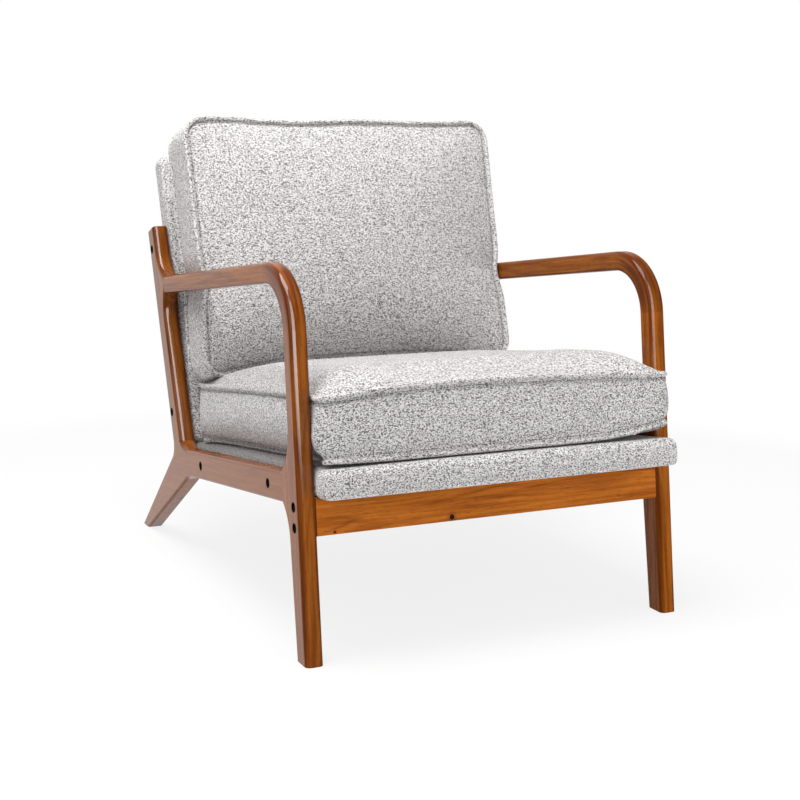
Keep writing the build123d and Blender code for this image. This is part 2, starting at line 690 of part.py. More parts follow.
def back_panel():
    """Nodes of the upholstered back panel, bolted between the posts."""
    half_height = PANEL_HEIGHT / 2
    edge = PANEL_EDGE_ROUND
    layers = [
        (0.0, edge),
        (edge * 0.3, edge * 0.3),
        (edge, 0.0),
        (PANEL_THICKNESS - edge, 0.0),
        (PANEL_THICKNESS - edge * 0.3, edge * 0.3),
        (PANEL_THICKNESS, edge * 1.2),
        (PANEL_THICKNESS + PANEL_CROWN, edge * 5),
    ]
    bow = DRAW_IN / 4
    foot = panel_frame()
    origin = along(foot, post_back_way, half_height)
    lean = Pos(0, origin[0], origin[1]) * Rot(-POST_TILT, 0, 0) * Rot(90, 0, 0)
    cover = stuffed(layers, SOFT_HALF, half_height, PANEL_CORNER, bow)
    cover -= stuffed(inner_layers(layers, PANEL_FABRIC), SOFT_HALF, half_height, PANEL_CORNER, bow)
    wall = PANEL_FABRIC + bow + CUSHION_GAP + FRAME_PADDING
    half = SOFT_HALF - wall
    tall = half_height - wall
    bolt_level = PANEL_BEHIND_POST + POST_BOLT_EDGE
    low = bolt_level - BATTEN_THICKNESS / 2
    top = low + BATTEN_THICKNESS
    corner_cut = PANEL_CORNER * 0.8
    inner = half - BATTEN_WIDTH
    side_end = tall - corner_cut
    members = {
        "panel_stile_left": batten(-half, -inner, -side_end, side_end, low, top),
        "panel_stile_right": batten(inner, half, -side_end, side_end, low, top),
        "panel_rail_bottom": batten(-inner, inner, -tall, BATTEN_WIDTH - tall, low, top),
        "panel_rail_top": batten(-inner, inner, tall - BATTEN_WIDTH, tall, low, top),
    }
    webbing = straps(half, BATTEN_WIDTH - tall, tall - BATTEN_WIDTH, top, WEBBING_COUNT)
    foam_base = top + WEBBING_THICKNESS + WEBBING_PLAY
    foam_layers = [(foam_base, wall), (PANEL_THICKNESS - edge * 0.3 - PANEL_FABRIC, wall + edge * 0.3)]
    foam_layers += [(PANEL_THICKNESS + PANEL_CROWN - PANEL_FABRIC - CUSHION_GAP, edge * 5 + wall)]
    foam = stuffed(foam_layers, SOFT_HALF, half_height, PANEL_CORNER, bow)
    nodes = {"panel_cover": lean * cover, "panel_foam": lean * foam, "panel_webbing": lean * webbing}
    for name, member in members.items():
        nodes[name] = lean * member
    for side, name in ((-1, "panel_stile_left"), (1, "panel_stile_right")):
        for hole in insert_hole(side, half, POST_BOLTS) + insert_hole(side, half, POST_BOLTS, True):
            nodes[name] -= hole
        for s, n in POST_BOLTS:
            start = -SOFT_HALF - 1 if side < 0 else half
            nodes["panel_cover"] -= cross_hole(start, s, n, BOLT / 2 + HOLE_PLAY, SOFT_HALF + 1 - half)
    return nodes, half


def bolt(side, s, n, tip):
    """Socket-head bolt that enters from the counterbore and ends at a distance from the middle plane."""
    seat = CHAIR_WIDTH / 2 - COUNTERBORE_DEPTH + WASHER_THICKNESS
    shank = Cylinder(BOLT / 2, seat - tip, align=(Align.CENTER, Align.CENTER, Align.MAX))
    head = Cylinder(BOLT_HEAD / 2, BOLT_HEAD_DEPTH, align=(Align.CENTER, Align.CENTER, Align.MIN))
    socket_sketch = RegularPolygon(BOLT_SOCKET / 2, 6, major_radius=False)
    socket = Pos(0, 0, BOLT_HEAD_DEPTH - BOLT_SOCKET_DEPTH) * extrude(socket_sketch, BOLT_SOCKET_DEPTH)
    whole = shank + head - socket
    return Pos(side * seat, s, n) * (Rot(0, side * 90, 0) * whole)


def ring(side, s, n, outer, bore, length, inner_face):
    """Plain ring on a bolt's axis, from a distance from the middle plane outwards."""
    body = Cylinder(outer / 2, length, align=(Align.CENTER, Align.CENTER, Align.MIN))
    body -= Cylinder(bore / 2, length, align=(Align.CENTER, Align.CENTER, Align.MIN))
    return Pos(side * inner_face, s, n) * (Rot(0, side * 90, 0) * body)


def group(solids):
    """Separate solids of one kind in one node."""
    return Compound([solid.solid() for solid in solids])


def fasteners(deck_half, panel_half):
    """Nodes of the bolts, washers, barrel nuts, threaded inserts and dowels."""
    nut_middle = INNER - BARREL_NUT_INSET
    bore = BOLT + 2 * HOLE_PLAY
    long_bolts = []
    short_bolts = []
    washers = []
    nuts = []
    inserts = []
    dowels = []
    washer_face = CHAIR_WIDTH / 2 - COUNTERBORE_DEPTH
    for side in (-1, 1):
        for s, n in LEG_BOLTS:
            long_bolts.append(bolt(side, s, n, nut_middle - BARREL_NUT / 2 - 2))
            nut = Rot(90, 0, 0) * Cylinder(BARREL_NUT / 2, BARREL_NUT_LENGTH)
            nut_place = Pos(side * nut_middle, FRONT_RAIL_SETBACK + FRONT_RAIL_THICKNESS / 2, n)
            thread = cross_hole(side * nut_middle - BARREL_NUT, s, n, BOLT / 2 + THREAD_PLAY, 2 * BARREL_NUT)
            nuts.append(nut_place * nut - thread)
        for half, spots in ((deck_half, RAIL_BOLTS), (panel_half, POST_BOLTS)):
            for s, n in spots:
                short_bolts.append(bolt(side, s, n, half - INSERT_LENGTH))
                bore = BOLT + 2 * THREAD_PLAY
                inserts.append(ring(side, s, n, INSERT, bore, INSERT_LENGTH, half - INSERT_LENGTH))
        for s, n in LEG_BOLTS + RAIL_BOLTS + POST_BOLTS:
            washers.append(ring(side, s, n, WASHER, bore, WASHER_THICKNESS, washer_face))
        for place, way in dowel_places():
            dowels.append(dowel_rod(place, way, side, DOWEL / 2, DOWEL_LENGTH))
    return {
        "front_rail_bolts": group(long_bolts),
        "side_bolts": group(short_bolts),
        "washers": group(washers),
        "barrel_nuts": group(nuts),
        "threaded_inserts": group(inserts),
        "dowels": group(dowels),
    }


def chair():
    """Every node of the chair in the seat's frame."""
    nodes = {"front_rail": front_rail()}
    for side, name in ((-1, "left"), (1, "right")):
        nodes["front_leg_" + name] = front_leg(side)
        nodes["armrest_" + name] = armrest(side)
        nodes["side_rail_" + name] = side_rail(side)
        nodes["back_post_" + name] = back_post(side)
    deck, deck_half = seat_deck()
    panel, panel_half = back_panel()
    nodes.update(deck)
    nodes.update(panel)
    nodes.update(fasteners(deck_half, panel_half))
    nodes.update(seat_cushion())
    nodes.update(back_cushion())
    return nodes


def stand_on_floor(nodes):
    """Turn the raked frame upright and put the origin under the middle of the chair."""
    upright = {name: Rot(-RAKE, 0, 0) * shape for name, shape in nodes.items()}
    boxes = [shape.bounding_box() for shape in upright.values()]
    middle = (min(box.min.Y for box in boxes) + max(box.max.Y for box in boxes)) / 2
    return {name: Pos(0, -middle, 0) * shape for name, shape in upright.items()}, middle


standing, front_foot_to_middle = stand_on_floor(chair())
os.makedirs("parts", exist_ok=True)
for node_name, node_shape in standing.items():
    export_step(node_shape, "parts/" + node_name + ".step")
print("front foot to the middle of the chair", round(front_foot_to_middle, 3))
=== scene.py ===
"""Looks of a lounge chair: a lacquered wooden frame with piped cushions in a flecked looped cloth.

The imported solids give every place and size. The wooden pieces keep their solids and take a grain that
follows each board. The upholstered pieces are made again here as stuffed cloth with welts and stitches.
Lengths are in metres and angles in degrees. Waves over the cloth and the turn of a stitch are in radians.
"""

import json
import math

import bpy
import numpy as np
from mathutils import Matrix, Vector
from mathutils.bvhtree import BVHTree


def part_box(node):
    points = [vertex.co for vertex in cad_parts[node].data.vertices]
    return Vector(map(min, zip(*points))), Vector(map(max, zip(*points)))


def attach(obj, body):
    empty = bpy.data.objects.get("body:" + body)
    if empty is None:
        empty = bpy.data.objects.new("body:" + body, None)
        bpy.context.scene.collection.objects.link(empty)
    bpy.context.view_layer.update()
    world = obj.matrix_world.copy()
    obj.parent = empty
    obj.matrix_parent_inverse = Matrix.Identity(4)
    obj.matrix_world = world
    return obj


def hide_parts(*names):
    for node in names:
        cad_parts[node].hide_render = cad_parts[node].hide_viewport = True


# The photograph's camera, measured from the middle of the front feet's front faces.
PHOTO_PIXELS = 800
FOCAL_PIXELS = 1486.5
VIEW_CENTRE = (397.0, 381.1)
VIEW_YAW = 25.5
VIEW_DROP = 10.1
VIEW_ROLL = 0.8
CAMERA_PLACE = (-1.1429, -1.9875, 0.8261)
SENSOR = 36.0

# Stage: half side of the floor, its drop below the feet, the least share of white in it,
# the distances between which it turns all white, and the sky's light.
FLOOR_SIZE = 6.0
FLOOR_DROP = 0.0002
FLOOR_LIFT = 0.84
FLOOR_FADE = (0.5, 1.7)
SKY_LEVEL = 0.32

# What the lacquer mirrors: two tall lamps, white behind, a grey above and a dim room in front.
# Each lamp has its way round from the front, its half width and its brightness.
# Its sides fade over LAMP_FADE, and its foot fades over LAMP_FOOT above the horizon.
FRONT_LAMP = (-14.0, 26.0, 9.0)
LEFT_LAMP = (-68.0, 10.0, 1.6)
LAMP_FADE = 3.0
LAMP_FOOT = 6.0
MIRRORED_BEHIND = 0.88
MIRRORED_ABOVE = 0.4
MIRRORED_FRONT = 0.10

# Counterbored holes of the side bolts, and how far apart two points of one washer may lie.
HOLE_RADIUS = 0.008
HOLE_FADE = 0.0006
WASHER_REACH = 0.016

# Wood: how much painted shade darkens its rounded edges and its bend, and the height of its grain.
EDGE_PAINTED_SHADE = 0.34
BEND_PAINTED_SHADE = 0.52
GRAIN_RELIEF = 0.00006
SPECK_RELIEF = 0.00008
KNOT_STAIN = (0.022, 0.008, 0.004)
# Painted shade in a counterbored bolt hole.
HOLE_PAINTED_SHADE = (0.014, 0.007, 0.004)
ARM_THICKNESS = 0.033

# Colours of the yarns and of the stain, and how dark the painted shade in creases is.
PALE_YARN = (0.91, 0.892, 0.884, 1.0)
# The gap colours are painted shade between the loops.
LOOP_GAP_SHADE = (0.15, 0.135, 0.128, 1.0)
DARK_YARN = (0.06, 0.052, 0.048, 1.0)
# The welts' yarns: the cloth's pale darkened as painted shade against the light the welts catch, and less
# painted shade in their gaps.
WELT_SHADED_YARN = (0.80, 0.783, 0.772, 1.0)
WELT_GAP_SHADE = (0.36, 0.335, 0.320, 1.0)
PAINTED_SHADE_DEPTH = 0.62
STAIN_PALE = (0.54, 0.165, 0.018)
STAIN_DEEP = (0.17, 0.035, 0.003)

# Cloth: cells of its mesh, welts, stitches and the gap to its neighbours.
FINE_CELL = 0.0032
COARSE_CELL = 0.0100
CELL_GROWTH = 1.22
LEAST_CORNER = 0.002
CORNER_STEPS = 12
WELT_RADIUS = 0.0039
WELT_SUNK = 0.0017
WELT_STEP = 0.004
STITCH_FROM_SEAM = 0.0068
STITCH_PITCH = 0.0064
STITCH_LENGTH = 0.0048
THREAD_RADIUS = 0.0008
STITCH_SINK = 0.0014
STITCH_SEED = 7
STITCH_TURN = 0.10
CLOTH_GAP = 0.0004
CLOTH_REACH = 0.030

# Rows of points beside a seam by their distance from it, and the gathers there as waves along each axis.
SEAM_ROWS = (0.0, 0.0025, 0.0046, STITCH_FROM_SEAM - 0.001, STITCH_FROM_SEAM + 0.001, 0.0115, 0.018)
GATHERS = (173, 197, 151)
GATHER_DRIFT = 1.3
GATHER_DRIFTS = 61
PUCKER_START = 0.006

# Shape of the seat cushion.
SEAT_CORNER = 0.016
SEAT_BULGE = 0.005
SEAT_CROWN_POWERS = (15.0, 9.0)
SEAT_UNDER_POWERS = (2.6, 2.6)
SEAT_UNDER_FLAT = 1.9
SEAT_LIFT_LEFT = 0.004
SEAT_LIFT_RIGHT = 0.022
SEAT_SIDE_TUCK = 0.024
SEAT_BELLY = 0.010
SEAT_BELLY_AT = 0.28
SEAT_BELLY_REACH = 0.22
SEAT_PINCH_TOP = 0.004
SEAT_BOW = 0.008
SEAT_SETTLE = 0.0045
SEAT_SWELL = 0.009
SEAT_FULL = 0.009
SEAT_FULL_AT = (0.8, -0.72)
SEAT_FULL_REACH = (0.22, 0.30)
SEAT_PUCKER = (0.0005, 0.040)
# How dark the painted shade beside the seat's top welt is.
SEAT_CREASE_SHADE = 0.18

# Shape of the back cushion.
BACK_CORNER = 0.040
BACK_BULGE = 0.007
BACK_CROWN_POWERS = (3.8, 3.0)
BACK_PINCH = 0.005
BACK_SAG = 0.024
BACK_SPREAD = 0.008
BACK_SQUEEZE = 0.030
BACK_TUCK = 0.034
BACK_WAVE = 0.0022
BACK_WAVES = 21.0
BACK_WAVE_START = 0.6
BACK_SWELL = 0.004
BACK_RISE = 0.32
BACK_PUCKER = (0.0006, 0.045)
# How dark the painted shade along the back cushion's stitched lines is.
BACK_CREASE_SHADE = 0.55

# Filling of both loose cushions.
DRAW_IN = 0.005
FRONT_SPREAD = 0.008
SPREAD_RUN = 0.022
INFLATE_FRAMES = 20
SEAT_PRESSURE = 2.4
BACK_PRESSURE = 4.0
INFLATE_CAP = 0.010

# Shapes of the two fixed pads.
PAD_CROWN_POWERS = (3.6, 3.6)
PAD_SIDE_SWELL = 0.0008
LINING_GAP = 0.0016
DECK_CORNER = 0.014
DECK_EDGE = 0.014
DECK_LOW_EDGE = 0.008
DECK_CROWN = 0.003
# Painted shade on the deck's sides between the side rails: how dark, from where across, over what width it
# fades, and how far behind the front feet it starts.
TUCKED_PAINTED_SHADE = 0.8
TUCKED_FROM = 0.288
TUCKED_FADE = 0.012
TUCKED_BEHIND_FOOT = 0.10
PANEL_CORNER = 0.016
PANEL_EDGE = 0.016
PANEL_SKIRT = 0.010
PANEL_CROWN = 0.016

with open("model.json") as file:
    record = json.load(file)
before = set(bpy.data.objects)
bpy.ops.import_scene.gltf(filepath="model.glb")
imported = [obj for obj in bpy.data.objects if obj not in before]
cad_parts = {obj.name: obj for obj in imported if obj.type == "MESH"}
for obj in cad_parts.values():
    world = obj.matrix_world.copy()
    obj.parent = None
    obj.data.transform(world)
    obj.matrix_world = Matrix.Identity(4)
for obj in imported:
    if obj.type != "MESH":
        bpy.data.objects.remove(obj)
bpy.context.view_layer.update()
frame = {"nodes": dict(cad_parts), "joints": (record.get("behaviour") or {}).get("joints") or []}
scene = bpy.context.scene
joints = {joint["name"]: joint for joint in frame["joints"]}


def unit(values):
    """A direction of length one."""
    direction = np.array(values, float)
    return direction / np.linalg.norm(direction)


ACROSS = np.array([1.0, 0.0, 0.0])
SEAT_FORWARD = unit(joints["seat_cushion_slide"]["axis"])
SEAT_BACKWARD = -SEAT_FORWARD
SEAT_UP = np.cross(ACROSS, SEAT_BACKWARD)
POST_UP = unit(joints["back_cushion_lift"]["axis"])
PANEL_FORWARD = np.cross(ACROSS, POST_UP)
RAKE = math.degrees(math.atan2(SEAT_UP[1], SEAT_UP[2]))
POST_LEAN = math.degrees(math.atan2(POST_UP[1], POST_UP[2]))


def read_points(mesh, what="co"):
    """Points of a mesh as rows, or their outward directions for normal."""
    flat = np.zeros(len(mesh.vertices) * 3)
    mesh.vertices.foreach_get(what, flat)
    return flat.reshape(-1, 3)


def points_of(node):
    """Corner points of a CAD node."""
    return read_points(frame["nodes"][node].data)


def spread(node, axis):
    """Lowest and highest place of a CAD node along an axis."""
    places = points_of(node) @ axis
    return places.min(), places.max()


def loop_normal(node, towards):
    """Direction square to the flat loop that a CAD welt lies in."""
    points = points_of(node)
    normal = np.linalg.svd(points - points.mean(0), full_matrices=False)[2][2]
    return normal if normal @ towards > 0 else -normal


def bolt_holes(node):
    """Middles of the bolt holes inside a node's box, by the washers in them."""
    groups = []
    for point in points_of("washers"):
        near = [group for group in groups if np.linalg.norm(group[0][1:] - point[1:]) < WASHER_REACH]
        if near:
            near[0].append(point)
        else:
            groups.append([point])
    middles = [(np.min(group, 0) + np.max(group, 0)) / 2 for group in groups]
    low = points_of(node).min(0)
    high = points_of(node).max(0)
    return [(0.0, spot[1], spot[2]) for spot in middles if (low < spot)[1:].all() and (spot < high)[1:].all()]


# Node trees.


def feed(tree, socket, value):
    """Links an input to another node's output or sets it to a value. None leaves it as it is."""
    if isinstance(value, bpy.types.NodeSocket):
        tree.links.new(value, socket)
    elif value is not None:
        socket.default_value = value


def connect(tree, node, **values):
    """Feeds the inputs of a node by their names."""
    for name, value in values.items():
        feed(tree, node.inputs[name.replace("_", " ")], value)


def add(tree, kind, **values):
    """New node: lower-case names set the node's own settings, capitals feed its inputs."""
    node = tree.nodes.new(kind)
    for name, value in values.items():
        if name[0].islower():
            setattr(node, name, value)
        else:
            connect(tree, node, **{name: value})
    return node


def math_node(tree, operation, first, second=None, clamp=False):
    """Result of a math node whose inputs are sockets or numbers."""
    node = add(tree, "ShaderNodeMath", operation=operation, use_clamp=clamp)
    feed(tree, node.inputs[0], first)
    feed(tree, node.inputs[1], second)
    return node.outputs[0]


def times(tree, first, second):
    """First times second."""
    return math_node(tree, "MULTIPLY", first, second)


def plus(tree, first, second, clamp=False):
    """First plus second, kept between 0 and 1 if clamp is set."""
    return math_node(tree, "ADD", first, second, clamp)


def minus(tree, first, second):
    """First less second."""
    return math_node(tree, "SUBTRACT", first, second)


def larger(tree, first, second):
    """The larger of two."""
    return math_node(tree, "MAXIMUM", first, second)


def vector_math(tree, operation, first, second=None):
    """Results of a vector math node whose inputs are sockets or vectors."""
    node = add(tree, "ShaderNodeVectorMath", operation=operation)
    feed(tree, node.inputs[0], first)
    feed(tree, node.inputs[1], second)
    return node.outputs


def stretched(tree, vector, shares):
    """Vector with each part taken by a share: a pattern grows long where the share is small."""
    return vector_math(tree, "MULTIPLY", vector, shares)[0]


def soft_step(tree, value, low, high):
    """Mask that rises smoothly from 0 at low to 1 at high."""
    node = add(tree, "ShaderNodeMapRange", interpolation_type="SMOOTHSTEP", Value=value, From_Min=low,
               From_Max=high)
    return node.outputs["Result"]


def mix_colour(tree, mask, first, second, blend="MIX"):
    """Colour mix whose inputs are sockets or colours."""
    node = add(tree, "ShaderNodeMix", data_type="RGBA", blend_type=blend)
    for number, value in ((0, mask), (6, first), (7, second)):
        feed(tree, node.inputs[number], (*value, 1.0) if isinstance(value, tuple) else value)
    return node.outputs[2]


def noise(tree, vector, scale, detail=2.0, roughness=0.5, distortion=0.0):
    """Noise value over a vector socket."""
    node = add(tree, "ShaderNodeTexNoise", Vector=vector, Scale=scale, Detail=detail, Roughness=roughness,
               Distortion=distortion)
    return node.outputs[0]


def new_group(name, inputs, tree_kind="ShaderNodeTree", **outputs):
    """Node group with named sockets of given kinds, and what comes in by its inputs."""
    group = bpy.data.node_groups.new(name, tree_kind)
    for socket, kind, *value in inputs:
        made = group.interface.new_socket(name=socket, in_out="INPUT", socket_type="NodeSocket" + kind)
        if value:
            made.default_value = value[0]
    for socket, kind in outputs.items():
        group.interface.new_socket(name=socket, in_out="OUTPUT", socket_type="NodeSocket" + kind)
    return group, add(group, "NodeGroupInput").outputs


# Shader groups.


def looped_cloth_group():
    """Looped cloth: pale loops, dark gaps of painted shade that wander between them along the weft, and dark
    flecks.
    """
    inputs = [
        ("Loops per metre", "Float", 300.0),
        ("Pale", "Color", (0.8, 0.78, 0.76, 1.0)),
        ("Gap", "Color", (0.3, 0.27, 0.25, 1.0)),
        ("Fleck", "Color", (0.16, 0.13, 0.12, 1.0)),
    ]
    group, given = new_group("looped_cloth", inputs, Color="Color", Height="Float")
    place = add(group, "ShaderNodeTexCoord").outputs["Object"]
    weft = stretched(group, place, (0.62, 0.62, 1.0))
    loops = noise(group, weft, given["Loops per metre"], detail=0.4, distortion=0.6)
    from_gap = math_node(group, "ABSOLUTE", minus(group, loops, 0.5))
    gap = times(group, soft_step(group, from_gap, 0.085, 0.025), 0.6)
    apart = vector_math(group, "ADD", weft, (3.1, 1.7, 2.3))[0]
    yarn = noise(group, apart, given["Loops per metre"], detail=0.6, distortion=0.7)
    fleck = soft_step(group, yarn, 0.525, 0.585)
    fibre = noise(group, place, 1500.0, detail=1.0)
    cloudy = soft_step(group, noise(group, place, 26.0), 0.2, 0.8)
    # Painted shade in the gaps between the loops.
    loop_colour = mix_colour(group, gap, given["Pale"], given["Gap"])
    flecked = mix_colour(group, times(group, fleck, 0.9), loop_colour, given["Fleck"])
    shade = plus(group, times(group, cloudy, 0.05), 0.90)
    shade = plus(group, times(group, fibre, 0.10), shade)
    toned = mix_colour(group, 1.0, flecked, shade, "MULTIPLY")
    height = minus(group, times(group, fibre, 0.25), gap)
    height = minus(group, height, times(group, yarn, 0.6))
    add(group, "NodeGroupOutput", Color=toned, Height=height)
    return group


def board_grain_group():
    """Stained hardwood in a board's own space, whose third axis runs along the grain, with painted shade in
    the bend and on rounded edges.
    """
    inputs = [
        ("Board", "Vector"),
        ("Pale", "Color", (0.4, 0.14, 0.035, 1.0)),
        ("Deep", "Color", (0.17, 0.045, 0.01, 1.0)),
        ("Figure", "Float", 1.0),
        ("Bent", "Float", 0.0),
        ("Edge", "Float", 0.0),
    ]
    group, given = new_group("board_grain", inputs, Color="Color", Roughness="Float", Height="Float")
    board = given["Board"]
    broad = noise(group, stretched(group, board, (1.0, 1.0, 0.10)), 16.0, distortion=0.9)
    rings = math_node(group, "SINE", times(group, broad, 46.0))
    ring_mask = soft_step(group, rings, -0.2, 1.0)
    drawn = stretched(group, board, (1.0, 1.0, 0.035))
    streaks = noise(group, drawn, 170.0, detail=4.0, roughness=0.65, distortion=0.2)
    streak_mask = soft_step(group, streaks, 0.33, 0.68)
    pores = noise(group, stretched(group, board, (1.0, 1.0, 0.07)), 1000.0, detail=1.0)
    pore_mask = soft_step(group, pores, 0.60, 0.70)
    tone = times(group, streak_mask, 0.50)
    tone = plus(group, tone, times(group, ring_mask, 0.20))
    tone = plus(group, tone, times(group, broad, 0.40))
    tone = times(group, minus(group, tone, 0.5), given["Figure"])
    # Painted shade: darker in the bend and on the rounded edges.
    tone = plus(group, tone, times(group, given["Bent"], BEND_PAINTED_SHADE))
    tone = plus(group, tone, times(group, given["Edge"], EDGE_PAINTED_SHADE))
    tone = plus(group, tone, 0.5, clamp=True)
    stain = mix_colour(group, tone, given["Pale"], given["Deep"])
    pore_share = times(group, times(group, pore_mask, 0.6), given["Figure"])
    dashed = mix_colour(group, pore_share, stain, given["Deep"])
    rough = plus(group, times(group, streak_mask, 0.03), 0.035)
    height = minus(group, times(group, streak_mask, 0.3), pore_mask)
    add(group, "NodeGroupOutput", Color=dashed, Roughness=rough, Height=height)
    return group


def bent_board_group():
    """Space of a board bent through a quarter turn: its third axis follows the bend."""
    inputs = [
        ("Place", "Vector"),
        ("Bend back", "Float", 0.0),
        ("Bend height", "Float", 0.0),
        ("Bend radius", "Float", 0.1),
    ]
    group, given = new_group("bent_board", inputs, Board="Vector", Bent="Float")
    parts = add(group, "ShaderNodeSeparateXYZ", Vector=given["Place"]).outputs
    back = minus(group, parts[1], given["Bend back"])
    high = minus(group, parts[2], given["Bend height"])
    ahead = larger(group, times(group, back, -1.0), 0.0)
    above = larger(group, high, 0.0)
    squares = plus(group, math_node(group, "POWER", ahead, 2.0), math_node(group, "POWER", above, 2.0))
    turn = math_node(group, "ARCTAN2", above, ahead)
    run = times(group, turn, given["Bend radius"])
    run = plus(group, run, larger(group, back, 0.0))
    run = plus(group, run, math_node(group, "MINIMUM", high, 0.0))
    radius = math_node(group, "SQRT", squares)
    whole = add(group, "ShaderNodeCombineXYZ", X=parts[0], Y=radius, Z=run)
    # Mask of the bend's middle, where the wood takes painted shade.
    bent = math_node(group, "SINE", times(group, turn, 2.0), clamp=True)
    add(group, "NodeGroupOutput", Board=whole.outputs[0], Bent=bent)
    return group


def pin_knot_group():
    """Mask of a small dark knot at one place: 1 in its eye, fading through a stained ring."""
    inputs = [("Place", "Vector"), ("Knot", "Vector"), ("Radius", "Float", 0.004)]
    group, given = new_group("pin_knot", inputs, Mask="Float")
    apart = vector_math(group, "DISTANCE", given["Place"], given["Knot"])["Value"]
    wobble = times(group, noise(group, given["Place"], 320.0), 0.4)
    spread_out = plus(group, math_node(group, "DIVIDE", apart, given["Radius"]), wobble)
    eye = soft_step(group, spread_out, 1.35, 0.95)
    ring = times(group, soft_step(group, spread_out, 2.8, 1.1), 0.35)
    add(group, "NodeGroupOutput", Mask=larger(group, eye, ring))
    return group


def bolt_hole_group():
    """Mask of painted shade in a bolt hole that runs across the chair: 1 on its wall and floor."""
    group, given = new_group("bolt_hole", [("Place", "Vector"), ("Hole", "Vector")], Mask="Float")
    place = stretched(group, given["Place"], (0.0, 1.0, 1.0))
    apart = vector_math(group, "DISTANCE", place, given["Hole"])["Value"]
    add(group, "NodeGroupOutput", Mask=soft_step(group, apart, HOLE_RADIUS + HOLE_FADE, HOLE_RADIUS))
    return group


def fine_specks_group():
    """Fine specks for plain finishes: a tone, a gloss and a height that change together."""
    inputs = [
        ("Color", "Color", (0.5, 0.5, 0.5, 1.0)),
        ("Roughness", "Float", 0.5),
        ("Specks per metre", "Float", 900.0),
        ("Run", "Vector", (1.0, 1.0, 1.0)),
        ("Depth", "Float", 0.35),
    ]
    group, given = new_group("fine_specks", inputs, Color="Color", Roughness="Float", Height="Float")
    place = add(group, "ShaderNodeTexCoord").outputs["Object"]
    specks = noise(group, stretched(group, place, given["Run"]), given["Specks per metre"])
    mask = soft_step(group, specks, 0.35, 0.65)
    shade = minus(group, 1.0, times(group, mask, given["Depth"]))
    toned = mix_colour(group, 1.0, given["Color"], shade, "MULTIPLY")
    gloss = times(group, minus(group, mask, 0.5), 0.16)
    rough = plus(group, given["Roughness"], gloss, clamp=True)
    add(group, "NodeGroupOutput", Color=toned, Roughness=rough, Height=mask)
    return group


def studio_group():
    """Brightness of the studio in a mirrored direction: two tall lamps, white behind, a dim room in front."""
    group, given = new_group("studio", [("Incoming", "Vector")], Brightness="Float")
    side, ahead, down = add(group, "ShaderNodeSeparateXYZ", Vector=given["Incoming"]).outputs
    way = math_node(group, "ARCTAN2", times(group, side, -1.0), ahead)
    lamps = []
    for middle, half, brightness in (FRONT_LAMP, LEFT_LAMP):
        off = math_node(group, "ABSOLUTE", minus(group, way, math.radians(middle)))
        lamp = soft_step(group, off, math.radians(half + LAMP_FADE), math.radians(half))
        lamps.append(times(group, lamp, brightness))
    under_top = soft_step(group, down, -0.96, -0.75)
    over_foot = soft_step(group, down, 0.0, -math.sin(math.radians(LAMP_FOOT)))
    behind = times(group, soft_step(group, ahead, -0.3, -0.8), MIRRORED_BEHIND)
    above = times(group, soft_step(group, down, -0.5, -0.9), MIRRORED_ABOVE)
    sides = times(group, larger(group, *lamps), times(group, under_top, over_foot))
    rest = larger(group, behind, larger(group, above, MIRRORED_FRONT))
    add(group, "NodeGroupOutput", Brightness=larger(group, sides, rest))
    return group


LOOPED_CLOTH = looped_cloth_group()
STUDIO = studio_group()
BOARD_GRAIN = board_grain_group()
BENT_BOARD = bent_board_group()
PIN_KNOT = pin_knot_group()
BOLT_HOLE = bolt_hole_group()
FINE_SPECKS = fine_specks_group()


# Materials.


def new_material(name, **values):
    """Material with one Principled BSDF, and its tree and shader."""
    material = bpy.data.materials.new(name)
    material.use_nodes = True
    tree = material.node_tree
    tree.nodes.clear()
    shader = add(tree, "ShaderNodeBsdfPrincipled", **values)
    add(tree, "ShaderNodeOutputMaterial", Surface=shader.outputs[0])
    return material, tree, shader


def use_group(tree, group, **values):
    """What comes out of a group placed in a tree, and the group's node."""
    node = add(tree, "ShaderNodeGroup", node_tree=group, **values)
    return node.outputs, node


def bump(tree, height, distance):
    """Normal over a relief whose height changes over the surface."""
    return add(tree, "ShaderNodeBump", Strength=1.0, Distance=distance, Height=height).outputs[0]


def cloth_material(name, loops, pale, gap, relief):
    """Flecked looped cloth with a soft bloom, darker by the painted shade noted on its mesh."""
    material, tree, shader = new_material(name, Roughness=0.92, Specular_IOR_Level=0.10, Sheen_Weight=0.42,
                                          Sheen_Roughness=0.45)
    cloth, _ = use_group(tree, LOOPED_CLOTH, Loops_per_metre=loops, Pale=pale, Gap=gap, Fleck=DARK_YARN)
    # Painted shade noted on the mesh darkens the cloth.
    painted_shade = add(tree, "ShaderNodeAttribute", attribute_name="painted_shade").outputs["Fac"]
    light = plus(tree, times(tree, painted_shade, -PAINTED_SHADE_DEPTH), 1.0)
    shaded = mix_colour(tree, 1.0, cloth["Color"], light, "MULTIPLY")
    connect(tree, shader, Base_Color=shaded, Normal=bump(tree, cloth["Height"], relief))
    return material


# Faces of the side frames, by how far they lie from the middle of the chair.
side_inner, side_outer = sorted(abs(x) for x in spread("front_leg_left", ACROSS))


def edge_shade_share(tree, place):
    """Mask of painted shade on the side frames' rounded edges, off the middle of their thickness and short of
    their faces.
    """
    side = add(tree, "ShaderNodeSeparateXYZ", Vector=place).outputs[0]
    off = minus(tree, math_node(tree, "ABSOLUTE", side), (side_inner + side_outer) / 2)
    off = math_node(tree, "DIVIDE", math_node(tree, "ABSOLUTE", off), (side_outer - side_inner) / 2)
    return times(tree, soft_step(tree, off, 0.4, 0.85), soft_step(tree, off, 0.998, 0.96))


